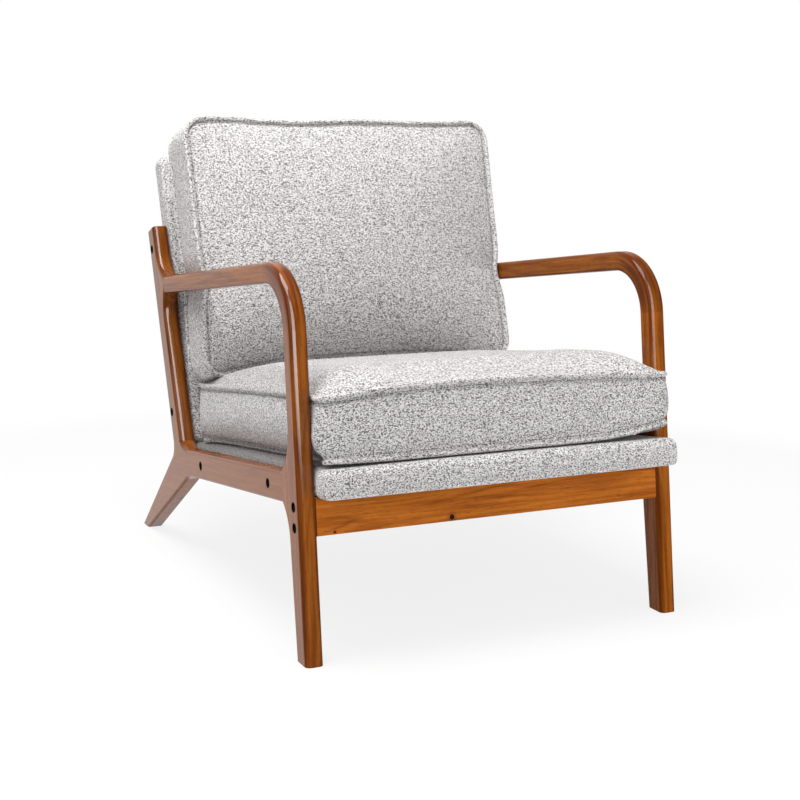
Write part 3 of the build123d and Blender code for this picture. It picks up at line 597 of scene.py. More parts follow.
def wood_material(name, turn, shade, figure, gloss=1.0, bend=None, knots=(), holes=(), edged=True):
    """Stained wood under clear lacquer: turn brings the grain to the third axis, bend follows an armrest."""
    material, tree, shader = new_material(name, Coat_Weight=gloss, Coat_IOR=1.5, IOR=1.0, Roughness=0.6)
    place = add(tree, "ShaderNodeTexCoord").outputs["Object"]
    angles = [math.radians(angle) for angle in turn]
    board = add(tree, "ShaderNodeMapping", Vector=place, Rotation=angles).outputs[0]
    pale, deep = ((*(shade * part for part in stain), 1.0) for stain in (STAIN_PALE, STAIN_DEEP))
    grain, grain_node = use_group(tree, BOARD_GRAIN, Pale=pale, Deep=deep, Figure=figure)
    # An armrest's bend also takes painted shade.
    if bend:
        back, height, radius = bend
        bent, _ = use_group(tree, BENT_BOARD, Place=board, Bend_back=back, Bend_height=height,
                            Bend_radius=radius)
        connect(tree, grain_node, Bent=bent["Bent"])
        board = bent["Board"]
    # Painted shade on the rounded edges.
    if edged:
        connect(tree, grain_node, Edge=edge_shade_share(tree, place))
    connect(tree, grain_node, Board=board)
    colour = grain["Color"]
    for spot, radius in knots:
        knot, _ = use_group(tree, PIN_KNOT, Place=place, Knot=spot, Radius=radius)
        colour = mix_colour(tree, knot["Mask"], colour, KNOT_STAIN)
    # Painted shade in the counterbored bolt holes.
    for spot in holes:
        hole, _ = use_group(tree, BOLT_HOLE, Place=place, Hole=spot)
        colour = mix_colour(tree, hole["Mask"], colour, HOLE_PAINTED_SHADE)
    relief = bump(tree, grain["Height"], GRAIN_RELIEF)
    connect(tree, shader, Base_Color=colour, Coat_Roughness=grain["Roughness"], Normal=relief)
    return material


def fine_material(name, colour, roughness, metallic=0.0, specks=900.0, run=(1.0, 1.0, 1.0), depth=0.35):
    """Finish of hidden pieces, thread and hardware: fine specks along a run vary its tone and gloss."""
    material, tree, shader = new_material(name, Metallic=metallic)
    fine, _ = use_group(tree, FINE_SPECKS, Color=(*colour, 1.0), Roughness=roughness, Specks_per_metre=specks,
                        Run=run, Depth=depth)
    relief = bump(tree, fine["Height"], SPECK_RELIEF)
    connect(tree, shader, Base_Color=fine["Color"], Roughness=fine["Roughness"], Normal=relief)
    return material


# Stuffed cloth.


def graded_stops(length):
    """Shares of a length whose stops stand close together near both ends."""
    stops = [0.0]
    step = FINE_CELL
    while stops[-1] < length / 2:
        stops.append(stops[-1] + step)
        step = min(step * CELL_GROWTH, COARSE_CELL)
    half = np.array(stops) / stops[-1] / 2
    return np.concatenate([half, 1 - half[-2::-1]])


def side_line(half_run, half_gap, corner, stops):
    """One side of a rounded oblong, from the middle of one corner to the middle of the next."""
    first = np.radians(np.linspace(225, 270, CORNER_STEPS))
    last = np.radians(np.linspace(270, 315, CORNER_STEPS))
    angles = np.concatenate([first, last])
    middles = np.repeat([corner - half_run, half_run - corner], CORNER_STEPS)
    line = np.stack([middles + corner * np.cos(angles), corner - half_gap + corner * np.sin(angles)], 1)
    run = np.concatenate([[0.0], np.cumsum(np.linalg.norm(np.diff(line, axis=0), axis=1))])
    at = stops * run[-1]
    return np.stack([np.interp(at, run, line[:, 0]), np.interp(at, run, line[:, 1])], 1)


def four_sides(half_width, half_depth, corner, wide, deep):
    """Front, right, back and left sides of a rounded oblong, one after the other all round."""
    corner = max(corner, LEAST_CORNER)
    front = side_line(half_width, half_depth, corner, wide)
    side = side_line(half_depth, half_width, corner, deep)
    right = np.stack([-side[:, 1], side[:, 0]], 1)
    return front, right, -front, -right


def filled(sides):
    """Grid of points that fills an outline, blended from its four sides."""
    front, right, back, left = sides
    back = back[::-1]
    left = left[::-1]
    u = np.linspace(0, 1, len(front))[:, None, None]
    v = np.linspace(0, 1, len(left))[None, :, None]
    across = (1 - v) * front[:, None] + v * back[:, None]
    along = (1 - u) * left[None] + u * right[None]
    near = (1 - u) * (1 - v) * front[0] + u * (1 - v) * front[-1]
    corners = near + (1 - u) * v * back[0] + u * v * back[-1]
    return across + along - corners


class Stuffed:
    """Closed cloth shell: rows of one outline from its low face to its high face, and a grid on each."""

    def __init__(self, half_width, half_depth, corner, rows):
        self.half = (half_width, half_depth)
        wide = graded_stops(2 * half_width)
        deep = graded_stops(2 * half_depth)
        self.round = 2 * (len(wide) + len(deep) - 2)
        self.rows = len(rows)
        parts = []
        for height, inset in rows:
            sides = four_sides(half_width - inset, half_depth - inset, corner - inset, wide, deep)
            loop = np.concatenate([side[:-1] for side in sides])
            parts.append(np.column_stack([loop, np.full(len(loop), height)]))
        faces = []
        around = np.arange(self.round)
        after = np.roll(around, -1)
        for row in range(self.rows - 1):
            low = row * self.round
            high = low + self.round
            faces.append(np.stack([low + around, low + after, high + after, high + around], 1))
        count = self.round * self.rows
        self.face_start = []
        self.grids = []
        for row, (height, inset) in ((0, rows[0]), (self.rows - 1, rows[-1])):
            sides = four_sides(half_width - inset, half_depth - inset, corner - inset, wide, deep)
            grid = filled(sides)
            number = np.full(grid.shape[:2], -1)
            rim = row * self.round + around
            nu, nv = grid.shape[0] - 1, grid.shape[1] - 1
            number[:-1, 0] = rim[:nu]
            number[-1, :-1] = rim[nu:nu + nv]
            number[1:, -1] = rim[nu + nv:2 * nu + nv][::-1]
            number[0, 1:] = rim[2 * nu + nv:][::-1]
            inner = grid[1:-1, 1:-1].reshape(-1, 2)
            number[1:-1, 1:-1] = (count + np.arange(len(inner))).reshape(nu - 1, nv - 1)
            parts.append(np.column_stack([inner, np.full(len(inner), height)]))
            self.face_start.append(count)
            self.grids.append(number)
            count += len(inner)
            quads = np.stack([number[:-1, :-1], number[1:, :-1], number[1:, 1:], number[:-1, 1:]], -1)
            quads = quads.reshape(-1, 4)
            faces.append(quads if row else quads[:, ::-1])
        self.points = np.concatenate(parts)
        self.faces = np.concatenate(faces)

    def row(self, index):
        """Numbers of the points on one row."""
        start = (index % self.rows) * self.round
        return np.arange(start, start + self.round)

    def seams(self):
        """Numbers of the points on the lowest and the highest row."""
        return np.concatenate([self.row(0), self.row(-1)])

    def face_points(self, high):
        """Numbers of the points inside the low or the high face."""
        if high:
            return np.arange(self.face_start[1], len(self.points))
        return np.arange(self.face_start[0], self.face_start[1])

    def ring(self, high, step):
        """Numbers of the points that go round a face, some cells in from its outline."""
        grid = self.grids[1 if high else 0]
        inner = grid[step:-step, step:-step] if step else grid
        return np.concatenate([inner[:-1, 0], inner[-1, :-1], inner[1:, -1][::-1], inner[0, 1:][::-1]])

    def shares(self, points):
        """Place of each point across and along the plan, from -1 to 1."""
        across = np.clip(points[:, 0] / self.half[0], -1, 1)
        along = np.clip(points[:, 1] / self.half[1], -1, 1)
        return across, along

    def dome(self, points, powers, rise=0.0):
        """Share of the full crown at each point: none at the outline, all of it in the middle or above."""
        u, v = self.shares(points)
        v = v - rise * (1 - v * v)
        return (1 - np.abs(u) ** powers[0]) * (1 - np.abs(v) ** powers[1])


def draw_in_sides(points, half, amount):
    """Pulls the sides in between the corners."""
    u = points[:, 0] / half[0]
    v = points[:, 1] / half[1]
    points[:, 0] -= amount * np.sign(u) * np.abs(u) ** 3 * (1 - np.clip(v * v, 0, 1))
    points[:, 1] -= amount * np.sign(v) * np.abs(v) ** 3 * (1 - np.clip(u * u, 0, 1))


def add_object(name, data):
    """New object in the scene."""
    made = bpy.data.objects.new(name, data)
    scene.collection.objects.link(made)
    return made


def mesh_object(name, points, faces):
    """Mesh object from points and faces, shaded smooth."""
    mesh = bpy.data.meshes.new(name)
    mesh.from_pydata(points.tolist(), [], [tuple(face) for face in faces.tolist()])
    mesh.update()
    mesh.shade_smooth()
    return add_object(name, mesh)


def shown_mesh(thing, name):
    """New mesh of what an object's modifiers make of it."""
    shown = thing.evaluated_get(bpy.context.evaluated_depsgraph_get())
    mesh = bpy.data.meshes.new_from_object(shown)
    mesh.name = name
    return mesh


def write_points(mesh, points):
    """Moves the points of a mesh."""
    mesh.vertices.foreach_set("co", points.astype(np.float32).ravel())
    mesh.update()


def inflate(cushion, held, pressure):
    """Blows a cushion up as cloth that its seams hold, and limits how far any point may go."""
    before = read_points(cushion.data)
    seams = cushion.vertex_groups.new(name="seams")
    seams.add([int(number) for number in held], 1.0, "REPLACE")
    cloth = cushion.modifiers.new("Inflate", "CLOTH")
    cloth.settings.quality = 5
    cloth.settings.mass = 0.3
    cloth.settings.tension_stiffness = 18
    cloth.settings.compression_stiffness = 18
    cloth.settings.shear_stiffness = 6
    cloth.settings.bending_stiffness = 1.2
    cloth.settings.vertex_group_mass = "seams"
    cloth.settings.pin_stiffness = 1.0
    cloth.settings.use_pressure = True
    cloth.settings.uniform_pressure_force = pressure
    cloth.settings.effector_weights.gravity = 0.0
    cloth.collision_settings.use_collision = False
    cloth.collision_settings.use_self_collision = False
    cloth.point_cache.frame_start = 1
    cloth.point_cache.frame_end = INFLATE_FRAMES
    for number in range(1, INFLATE_FRAMES + 1):
        scene.frame_set(number)
    shown = cushion.evaluated_get(bpy.context.evaluated_depsgraph_get())
    after = read_points(shown.data)
    cushion.modifiers.remove(cloth)
    cushion.vertex_groups.remove(seams)
    scene.frame_set(1)
    move = after - before
    length = np.linalg.norm(move, axis=1)
    print(cushion.name, "inflated by up to", round(float(length.max()) * 1000, 1), "mm")
    share = np.minimum(1.0, INFLATE_CAP / np.maximum(length, 1e-9))
    write_points(cushion.data, before + move * share[:, None])


def tree_of(thing):
    """Search tree over the faces of a mesh object."""
    mesh = thing.data
    points = [vertex.co.copy() for vertex in mesh.vertices]
    return BVHTree.FromPolygons(points, [tuple(face.vertices) for face in mesh.polygons])


def keep_clear(thing, others):
    """Moves the points of a soft piece that lie in its neighbours, or too near, out to their faces."""
    points = read_points(thing.data)
    trees = [tree_of(other) for other in others]
    for index, point in enumerate(points):
        for tree in trees:
            spot, normal, _, apart = tree.find_nearest(point, CLOTH_REACH)
            if spot is None:
                continue
            out = (Vector(point) - spot).dot(normal)
            if out < CLOTH_GAP and (out > 0 or apart < CLOTH_REACH):
                point = np.array(spot + normal * CLOTH_GAP)
        points[index] = point
    write_points(thing.data, points)


def smoother(thing):
    """One round of subdivision, applied."""
    modifier = thing.modifiers.new("Subdivide", "SUBSURF")
    modifier.levels = 1
    modifier.render_levels = 1
    mesh = shown_mesh(thing, thing.name)
    thing.modifiers.remove(modifier)
    thing.data = mesh
    mesh.shade_smooth()


# Geometry Nodes trees.


def finish_geometry(tree, last, material):
    """Ends a geometry tree: real faces, smooth shading and one material."""
    real = add(tree, "GeometryNodeRealizeInstances", Geometry=last)
    smooth = add(tree, "GeometryNodeSetShadeSmooth", Geometry=real.outputs[0])
    painted = add(tree, "GeometryNodeSetMaterial", Geometry=smooth.outputs[0], Material=material)
    add(tree, "NodeGroupOutput", Geometry=painted.outputs[0])
    return tree


def welt_tree():
    """Round welt along a seam's path."""
    inputs = [("Geometry", "Geometry"), ("Radius", "Float"), ("Step", "Float"), ("Material", "Material")]
    tree, given = new_group("welt", inputs, "GeometryNodeTree", Geometry="Geometry")
    path = given["Geometry"]
    even = add(tree, "GeometryNodeResampleCurve", mode="LENGTH", Curve=path, Length=given["Step"])
    section = add(tree, "GeometryNodeCurvePrimitiveCircle", Resolution=12, Radius=given["Radius"])
    tube = add(tree, "GeometryNodeCurveToMesh", Curve=even.outputs[0], Profile_Curve=section.outputs[0])
    return finish_geometry(tree, tube.outputs[0], given["Material"])


def stitch_tree():
    """Row of short stitches along a path, each laid along it with a little turn of its own."""
    inputs = [
        ("Geometry", "Geometry"),
        ("Pitch", "Float"),
        ("Length", "Float"),
        ("Thread", "Float"),
        ("Seed", "Int"),
        ("Material", "Material"),
    ]
    tree, given = new_group("stitches", inputs, "GeometryNodeTree", Geometry="Geometry")
    path = given["Geometry"]
    spots = add(tree, "GeometryNodeCurveToPoints", mode="LENGTH", Curve=path, Length=given["Pitch"])
    bead = add(tree, "GeometryNodeMeshUVSphere", Segments=6, Rings=5, Radius=1.0)
    half = times(tree, given["Length"], 0.5)
    size = add(tree, "ShaderNodeCombineXYZ", X=given["Thread"], Y=given["Thread"], Z=half)
    stretch = add(tree, "GeometryNodeTransform", Geometry=bead.outputs["Mesh"], Scale=size.outputs[0])
    lay = add(tree, "FunctionNodeAlignRotationToVector", axis="Z", Vector=spots.outputs["Tangent"])
    turn = add(tree, "FunctionNodeRandomValue", data_type="FLOAT_VECTOR", Seed=given["Seed"])
    turn.inputs[0].default_value = (-STITCH_TURN, -STITCH_TURN, 0.0)
    turn.inputs[1].default_value = (STITCH_TURN, STITCH_TURN, 0.0)
    tilted = add(tree, "FunctionNodeRotateRotation", rotation_space="LOCAL", Rotation=lay.outputs[0],
                 Rotate_By=turn.outputs[0])
    copies = add(tree, "GeometryNodeInstanceOnPoints", Points=spots.outputs["Points"],
                 Instance=stretch.outputs[0], Rotation=tilted.outputs[0])
    return finish_geometry(tree, copies.outputs[0], given["Material"])


WELT = welt_tree()
STITCHES = stitch_tree()


def closed_path(name, points):
    """Closed curve through points."""
    curve = bpy.data.curves.new(name, "CURVE")
    curve.dimensions = "3D"
    line = curve.splines.new("POLY")
    line.points.add(len(points) - 1)
    line.points.foreach_set("co", np.column_stack([points, np.ones(len(points))]).ravel())
    line.use_cyclic_u = True
    return add_object(name, curve)


def grown(name, points, tree, values):
    """Mesh that a geometry tree grows along a closed path."""
    path = closed_path(name + "_path", points)
    modifier = path.modifiers.new("Grow", "NODES")
    modifier.node_group = tree
    sockets = {item.name: item.identifier for item in tree.interface.items_tree if item.in_out == "INPUT"}
    for socket, value in values.items():
        modifier[sockets[socket]] = value
    path.update_tag()
    mesh = shown_mesh(path, name)
    bpy.data.objects.remove(path)
    return add_object(name, mesh)


# Finishes.

boucle = cloth_material("boucle_cloth", 600.0, PALE_YARN, LOOP_GAP_SHADE, relief=0.0008)
# The welts wear a copy of the cloth with painted shade on its pale.
shaded_welt_cloth = cloth_material("shaded_welt_cloth", 520.0, WELT_SHADED_YARN, WELT_GAP_SHADE, relief=0.0005)
thread = fine_material("sewing_thread", (0.11, 0.096, 0.090), 0.8, specks=2600.0)
pine = fine_material("hidden_pine", (0.66, 0.47, 0.27), 0.7, specks=420.0, run=(0.06, 0.06, 1.0))
elastic = fine_material("webbing_elastic", (0.12, 0.12, 0.13), 0.8, specks=800.0, run=(1.0, 0.12, 0.12))
lining = fine_material("dust_lining", (0.038, 0.038, 0.040), 0.9, specks=1100.0, depth=0.5)
black_steel = fine_material("black_steel", (0.034, 0.033, 0.032), 0.38, metallic=1.0, specks=1500.0)
zinc = fine_material("plated_steel", (0.66, 0.67, 0.68), 0.32, metallic=1.0, specks=1500.0, depth=0.2)
dowel_wood = fine_material("dowel_wood", (0.64, 0.45, 0.26), 0.6, specks=700.0, run=(0.1, 1.0, 1.0))

arm_low, arm_high = spread("armrest_left", SEAT_UP)
arm_front = spread("armrest_left", SEAT_BACKWARD)[0]
arm_bend = arm_high - arm_low
arm_path = (arm_front + arm_bend, arm_low, arm_bend)
leg_front = spread("front_leg_left", SEAT_FORWARD)[1]
post_holes = bolt_holes("back_post_left")
rail_holes = bolt_holes("side_rail_left")
leg_holes = bolt_holes("front_leg_left")
rail_knots = [((-0.3194, 0.2630, 0.0966), 0.0044), ((-0.3160, 0.2585, 0.0990), 0.0034)]
front_knots = [((-0.0796, -0.4025, 0.2024), 0.0046), ((-0.2809, -0.4029, 0.1999), 0.0020)]
post_turn = (POST_LEAN, 0.0, 0.0)
leg_turn = (RAKE, 0.0, 0.0)
rail_turn = (90.0 + RAKE, 0.0, 0.0)
front_turn = (0.0, -90.0, 0.0)

post_wood = wood_material("wood_post", post_turn, shade=0.64, figure=0.9, holes=post_holes)
rail_wood = wood_material("wood_side_rail", rail_turn, shade=0.76, figure=0.45, knots=rail_knots,
                          holes=rail_holes)
arm_wood = wood_material("wood_arm", leg_turn, shade=0.74, figure=1.0, gloss=0.80, bend=arm_path)
# The far arm and leg wear copies of the near wood with less gloss, the arm darker and the leg lighter:
# painted shade and painted light for how light falls on the far side, where the real lacquer is the same.
far_arm_shaded_wood = wood_material("wood_far_arm_shaded_copy", leg_turn, shade=0.66, figure=1.0, gloss=0.45, bend=arm_path)
leg_wood = wood_material("wood_leg", leg_turn, shade=0.76, figure=1.0, bend=arm_path, holes=leg_holes)
far_leg_lit_wood = wood_material("wood_far_leg_lit_copy", leg_turn, shade=0.84, figure=1.0, gloss=0.40, bend=arm_path,
                             holes=leg_holes)
front_wood = wood_material("wood_front_rail", front_turn, shade=1.30, figure=1.0, knots=front_knots,
                           edged=False)

# Each finish, the slot that it stands in and the nodes that wear it.
FINISHES = (
    (leg_wood, "stained_wood", ("front_leg_left",)),
    (far_leg_lit_wood, "stained_wood", ("front_leg_right",)),
    (arm_wood, "stained_wood", ("armrest_left",)),
    (far_arm_shaded_wood, "stained_wood", ("armrest_right",)),
    (rail_wood, "stained_wood", ("side_rail_left", "side_rail_right")),
    (post_wood, "stained_wood", ("back_post_left", "back_post_right")),
    (front_wood, "stained_wood", ("front_rail",)),
    (pine, "hidden_wood", ("deck_frame_left", "deck_frame_right", "deck_frame_front", "deck_frame_back")),
    (pine, "hidden_wood", ("panel_stile_left", "panel_stile_right", "panel_rail_top", "panel_rail_bottom")),
    (dowel_wood, "hidden_wood", ("dowels",)),
    (elastic, "webbing", ("deck_webbing", "panel_webbing")),
    (lining, "dust_cover", ("deck_dust_cover",)),
    (black_steel, "black_steel", ("front_rail_bolts", "side_bolts", "washers")),
    (zinc, "plated_steel", ("barrel_nuts", "threaded_inserts")),
)
wooden = []
for material, slot, nodes in FINISHES:
    for node in nodes:
        piece = frame["nodes"][node]
        piece.data.materials.clear()
        piece.data.materials.append(material)
        if slot == "stained_wood":
            wooden.append(piece)


# Upholstered pieces.


def cushion_axes(welt, upward):
    """Axes of a boxed cushion as rows: across, along and out of its main face."""
    out = loop_normal(welt, upward)
    return np.stack([ACROSS, np.cross(out, ACROSS), out])


def cushion_place(high_welt, low_welt, axes):
    """Half sizes of a cushion's seams, the heights of both, and the middle of its plan."""
    spreads = [spread(high_welt, axis) for axis in axes]
    middles = [sum(limits) / 2 for limits in spreads]
    halves = [(limits[1] - limits[0]) / 2 for limits in spreads]
    radius = halves[2]
    low = sum(spread(low_welt, axes[2])) / 2
    return halves[0] - radius, halves[1] - radius, low, middles[2], np.array([middles[0], middles[1], 0.0])


def boxing_rows(low, high, bulge):
    """Rows from the low seam to the high seam, close together by the stitches and swelling between."""
    tall = high - low
    middle = np.linspace(SEAM_ROWS[-1], tall - SEAM_ROWS[-1], 9)[1:-1]
    places = np.concatenate([SEAM_ROWS, middle, tall - np.array(SEAM_ROWS)[::-1]])
    return [(low + place, -bulge * math.sin(math.pi * place / tall) ** 0.7) for place in places]


def widen_ahead(points, ahead_of, amount):
    """Lets a pad swell sideways where it stands out in front of the legs."""
    ahead = np.clip((ahead_of - points[:, 1]) / SPREAD_RUN, 0, 1)
    sideways = np.clip(np.abs(points[:, 0]) / np.abs(points[:, 0]).max(), 0, 1) ** 6
    points[:, 0] += np.sign(points[:, 0]) * amount * ahead * ahead * (3 - 2 * ahead) * sideways


def sew(name, cushion, shell, seams, body):
    """Welts and stitch lines of a cushion: each seam's row, and the points that hold its stitches."""
    points = read_points(cushion.data)
    normals = read_points(cushion.data, "normal")
    for label, row, numbers, node in seams:
        out = normals[shell.row(row)]
        seam = points[shell.row(row)] + out * (WELT_RADIUS - WELT_SUNK)
        values = {"Radius": WELT_RADIUS, "Step": WELT_STEP, "Material": shaded_welt_cloth}
        welt = grown(f"{name}_welt_{label}", seam, WELT, values)
        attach(welt, body)
        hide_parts(node)
        values = {"Pitch": STITCH_PITCH, "Length": STITCH_LENGTH, "Thread": THREAD_RADIUS,
                  "Seed": STITCH_SEED, "Material": thread}
        row_of_stitches = grown(f"{name}_stitches_{label}", points[numbers], STITCHES, values)
        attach(row_of_stitches, body)


def sink(cushion, numbers, depth, shaded_lines):
    """Draws the cloth in along a line of stitches, and notes painted shade on the given lines for its finish
    to darken.
    """
    points = read_points(cushion.data)
    normals = read_points(cushion.data, "normal")
    points[numbers] -= normals[numbers] * depth
    write_points(cushion.data, points)
    painted_shade = cushion.data.attributes.new("painted_shade", "FLOAT", "POINT")
    shares = np.zeros(len(points), np.float32)
    for line, share in shaded_lines:
        shares[line] = share
    painted_shade.data.foreach_set("value", shares)


def pucker(cushion, shell, amount, reach):
    """Small gathers beside the seams, which die away from them."""
    points = read_points(cushion.data)
    normals = read_points(cushion.data, "normal")
    pieces = []
    for start in (0, shell.round):
        pieces += [(start + i, start + (i + 1) % shell.round, start + i) for i in range(shell.round)]
    seam = BVHTree.FromPolygons([Vector(point) for point in points[shell.seams()]], pieces)
    for index, point in enumerate(points):
        spot, _, _, apart = seam.find_nearest(point, reach)
        if spot is None:
            continue
        fade = (1 - apart / reach) * min(1.0, apart / PUCKER_START)
        wave = math.sin(spot[0] * GATHERS[0] + GATHER_DRIFT * math.sin(spot[0] * GATHER_DRIFTS))
        wave += math.sin(spot[1] * GATHERS[1] + spot[2] * GATHERS[2])
        points[index] += normals[index] * amount * fade * wave
    write_points(cushion.data, points)


def seat_cushion():
    """Seat cushion: boxed, crowned, its front corners swollen past the legs and lifted off the deck."""
    axes = cushion_axes("seat_piping_top", SEAT_UP)
    half_width, half_depth, low, high, middle = cushion_place("seat_piping_top", "seat_piping_bottom", axes)
    low -= SEAT_SETTLE
    crown = spread("seat_cushion_cover", axes[2])[1] - high
    drop = low - spread("seat_cushion_cover", axes[2])[0]
    shell = Stuffed(half_width, half_depth, SEAT_CORNER, boxing_rows(low, high, SEAT_BULGE))
    points = shell.points
    top = shell.face_points(True)
    under = shell.face_points(False)
    swell = SEAT_SWELL
    points[top, 2] += (crown - swell) * shell.dome(points[top], SEAT_CROWN_POWERS)
    points[under, 2] -= drop * np.minimum(1.0, SEAT_UNDER_FLAT * shell.dome(points[under], SEAT_UNDER_POWERS))
    across, along = shell.shares(points[top])
    from_side = (np.abs(across) - SEAT_FULL_AT[0]) / SEAT_FULL_REACH[0]
    from_front = (along - SEAT_FULL_AT[1]) / SEAT_FULL_REACH[1]
    near_corner = from_side ** 2 + from_front ** 2
    points[top, 2] += SEAT_FULL * np.exp(-near_corner)
    share = np.clip((points[:, 2] - low) / (high - low), 0, 1)
    u, v = shell.shares(points)
    front = np.clip(-v, 0, 1) ** 5
    lift = np.where(u > 0, SEAT_LIFT_RIGHT, SEAT_LIFT_LEFT) * np.abs(u) ** 5
    points[:, 2] += np.clip(-v, 0, 1) ** 12 * (1 - share) * lift
    belly = SEAT_BELLY * np.exp(-((share - SEAT_BELLY_AT) / SEAT_BELLY_REACH) ** 2)
    belly -= SEAT_SIDE_TUCK * (1 - share) ** 6
    points[:, 0] += np.sign(u) * belly * np.abs(u) ** 3 * (1 - np.abs(v) ** 8)
    points[:, 2] -= front * share * SEAT_PINCH_TOP * np.abs(u) ** 5
    points[:, 2] += front * share * SEAT_BOW * (1 - u * u) * (1 - 0.5 * u)
    draw_in_sides(points, shell.half, DRAW_IN)
    widen_ahead(points, -leg_front - middle[1], FRONT_SPREAD)
    cushion = mesh_object("seat_cushion", (points + middle) @ axes, shell.faces)
    inflate(cushion, np.concatenate([shell.seams(), under]), SEAT_PRESSURE)
    return cushion, shell


def back_cushion():
    """Back cushion: boxed, fuller in front, its lower corners sagging on the seat, squeezed by the arms."""
    axes = cushion_axes("back_piping_front", PANEL_FORWARD)
    half_width, half_depth, low, high, middle = cushion_place("back_piping_front", "back_piping_rear", axes)
    front_crown = spread("back_cushion_cover", axes[2])[1] - high
    rear_crown = low - spread("back_cushion_cover", axes[2])[0]
    shell = Stuffed(half_width, half_depth, BACK_CORNER, boxing_rows(low, high, BACK_BULGE))
    points = shell.points
    front = shell.face_points(True)
    rear = shell.face_points(False)
    swell = BACK_SWELL
    points[front, 2] += (front_crown - swell) * shell.dome(points[front], BACK_CROWN_POWERS, BACK_RISE)
    points[rear, 2] -= rear_crown * shell.dome(points[rear], BACK_CROWN_POWERS)
    share = np.clip((points[:, 2] - low) / (high - low), 0, 1)
    u, v = shell.shares(points)
    points[:, 2] += np.abs(u * v) ** 5 * BACK_PINCH * (1 - 2 * share)
    draw_in_sides(points, shell.half, DRAW_IN)
    placed = (points + middle) @ axes
    from_arm = (placed @ SEAT_UP - (arm_high - ARM_THICKNESS / 2)) / BACK_SQUEEZE
    points[:, 0] += BACK_SPREAD * np.sign(u) * np.abs(u) ** 3 * (1 - np.exp(-from_arm ** 2))
    points[:, 2] -= BACK_TUCK * share * np.clip(-v, 0, 1) ** 9 * (1 - np.abs(u) ** 8)
    points[:, 1] -= BACK_SAG * np.abs(u) ** 4 * np.clip(-v, 0, 1) ** 2
    points[:, 1] += BACK_WAVE * np.sin(points[:, 0] * BACK_WAVES + BACK_WAVE_START) * np.clip(v, 0, 1) ** 4
    cushion = mesh_object("back_cushion", (points + middle) @ axes, shell.faces)
    inflate(cushion, np.concatenate([shell.seams(), rear]), BACK_PRESSURE)
    return cushion, shell


def pad_rows(low, high, low_edge, high_edge, turn_under, lining_gap):
    """Rows of a pad pulled over a frame: turned under, round low edge, side, round high edge."""
    rows = []
    if turn_under:
        rows += [(low + lining_gap, turn_under), (low, turn_under), (low, (turn_under + low_edge) / 2)]
    for angle in np.radians(np.linspace(0, 90, 6)):
        rows.append((low + low_edge * (1 - math.cos(angle)), low_edge * (1 - math.sin(angle))))
    rows.append(((low + low_edge + high - high_edge) / 2, -PAD_SIDE_SWELL))
    for angle in np.radians(np.linspace(90, 0, 6)):
        rows.append((high - high_edge * (1 - math.cos(angle)), high_edge * (1 - math.sin(angle))))
    return rows


def pad(name, cover, axes, corner, low_edge, high_edge, crown, turn_under, ahead_of=None, longer=0.0):
    """Fixed upholstered pad in the room of its CAD cover, or a little longer at its near end."""
    spreads = [spread(cover, axis) for axis in axes]
    spreads[1] = (spreads[1][0] - longer, spreads[1][1])
    halves = [(limits[1] - limits[0]) / 2 for limits in spreads]
    middle = np.array([sum(spreads[0]) / 2, sum(spreads[1]) / 2, 0.0])
    low, high = spreads[2]
    rows = pad_rows(low, high - crown, low_edge, high_edge, turn_under, LINING_GAP)
    shell = Stuffed(halves[0], halves[1], corner, rows)
    points = shell.points
    face = shell.face_points(True)
    points[face, 2] += crown * shell.dome(points[face], PAD_CROWN_POWERS)
    if ahead_of is not None:
        widen_ahead(points, ahead_of - middle[1], FRONT_SPREAD)
    return mesh_object(name, (points + middle) @ axes, shell.faces)


def paint_tucked_shade(piece, behind):
    """Notes painted shade on the sides of a pad that lie tucked between the side rails, for its finish to
    darken.
    """
    points = read_points(piece.data)
    tucked = np.clip((np.abs(points[:, 0]) - TUCKED_FROM) / TUCKED_FADE, 0, 1) * (points[:, 1] > behind)
    painted_shade = piece.data.attributes.new("painted_shade", "FLOAT", "POINT")
    painted_shade.data.foreach_set("value", (TUCKED_PAINTED_SHADE * tucked).astype(np.float32))


def dress(piece, body, fill, *replaced):
    """Gives a stuffed piece its cloth, its body and its CAD nodes; the share of its room that it fills is not
    used.
    """
    piece.data.materials.append(boucle)
    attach(piece, body)
    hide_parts(*replaced)


seat_axes = np.stack([ACROSS, SEAT_BACKWARD, SEAT_UP])
panel_axes = np.stack([ACROSS, POST_UP, PANEL_FORWARD])
turn_under = spread("deck_cover", ACROSS)[1] - spread("deck_dust_cover", ACROSS)[1]
deck = pad("seat_deck", "deck_cover", seat_axes, DECK_CORNER, DECK_LOW_EDGE, DECK_EDGE, DECK_CROWN,
           turn_under, ahead_of=-leg_front)
panel = pad("back_panel", "panel_cover", panel_axes, PANEL_CORNER, PANEL_EDGE, PANEL_EDGE, PANEL_CROWN,
            turn_under=0.0, longer=PANEL_SKIRT)
smoother(deck)
smoother(panel)
# Painted shade on the deck's tucked sides.
paint_tucked_shade(deck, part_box("front_leg_left")[0].y + TUCKED_BEHIND_FOOT)
dress(deck, "frame", 0.95, "deck_cover", "deck_foam")
dress(panel, "frame", 0.9, "panel_cover", "panel_foam")

seat, seat_shell = seat_cushion()
keep_clear(seat, [deck, panel, *wooden])
pucker(seat, seat_shell, *SEAT_PUCKER)
# Painted shade beside the seat's top welt.
seat_shaded_lines = [(seat_shell.row(row), SEAT_CREASE_SHADE) for row in (-4, -5)]
sink(seat, np.concatenate([seat_shell.row(row) for row in (3, 4, -4, -5)]), STITCH_SINK, seat_shaded_lines)
sew("seat", seat, seat_shell, [("top", -1, seat_shell.row(-4), "seat_piping_top"),
                               ("bottom", 0, seat_shell.row(3), "seat_piping_bottom")], "seat_cushion")
smoother(seat)
dress(seat, "seat_cushion", 0.8, "seat_cushion_cover", "seat_cushion_core")

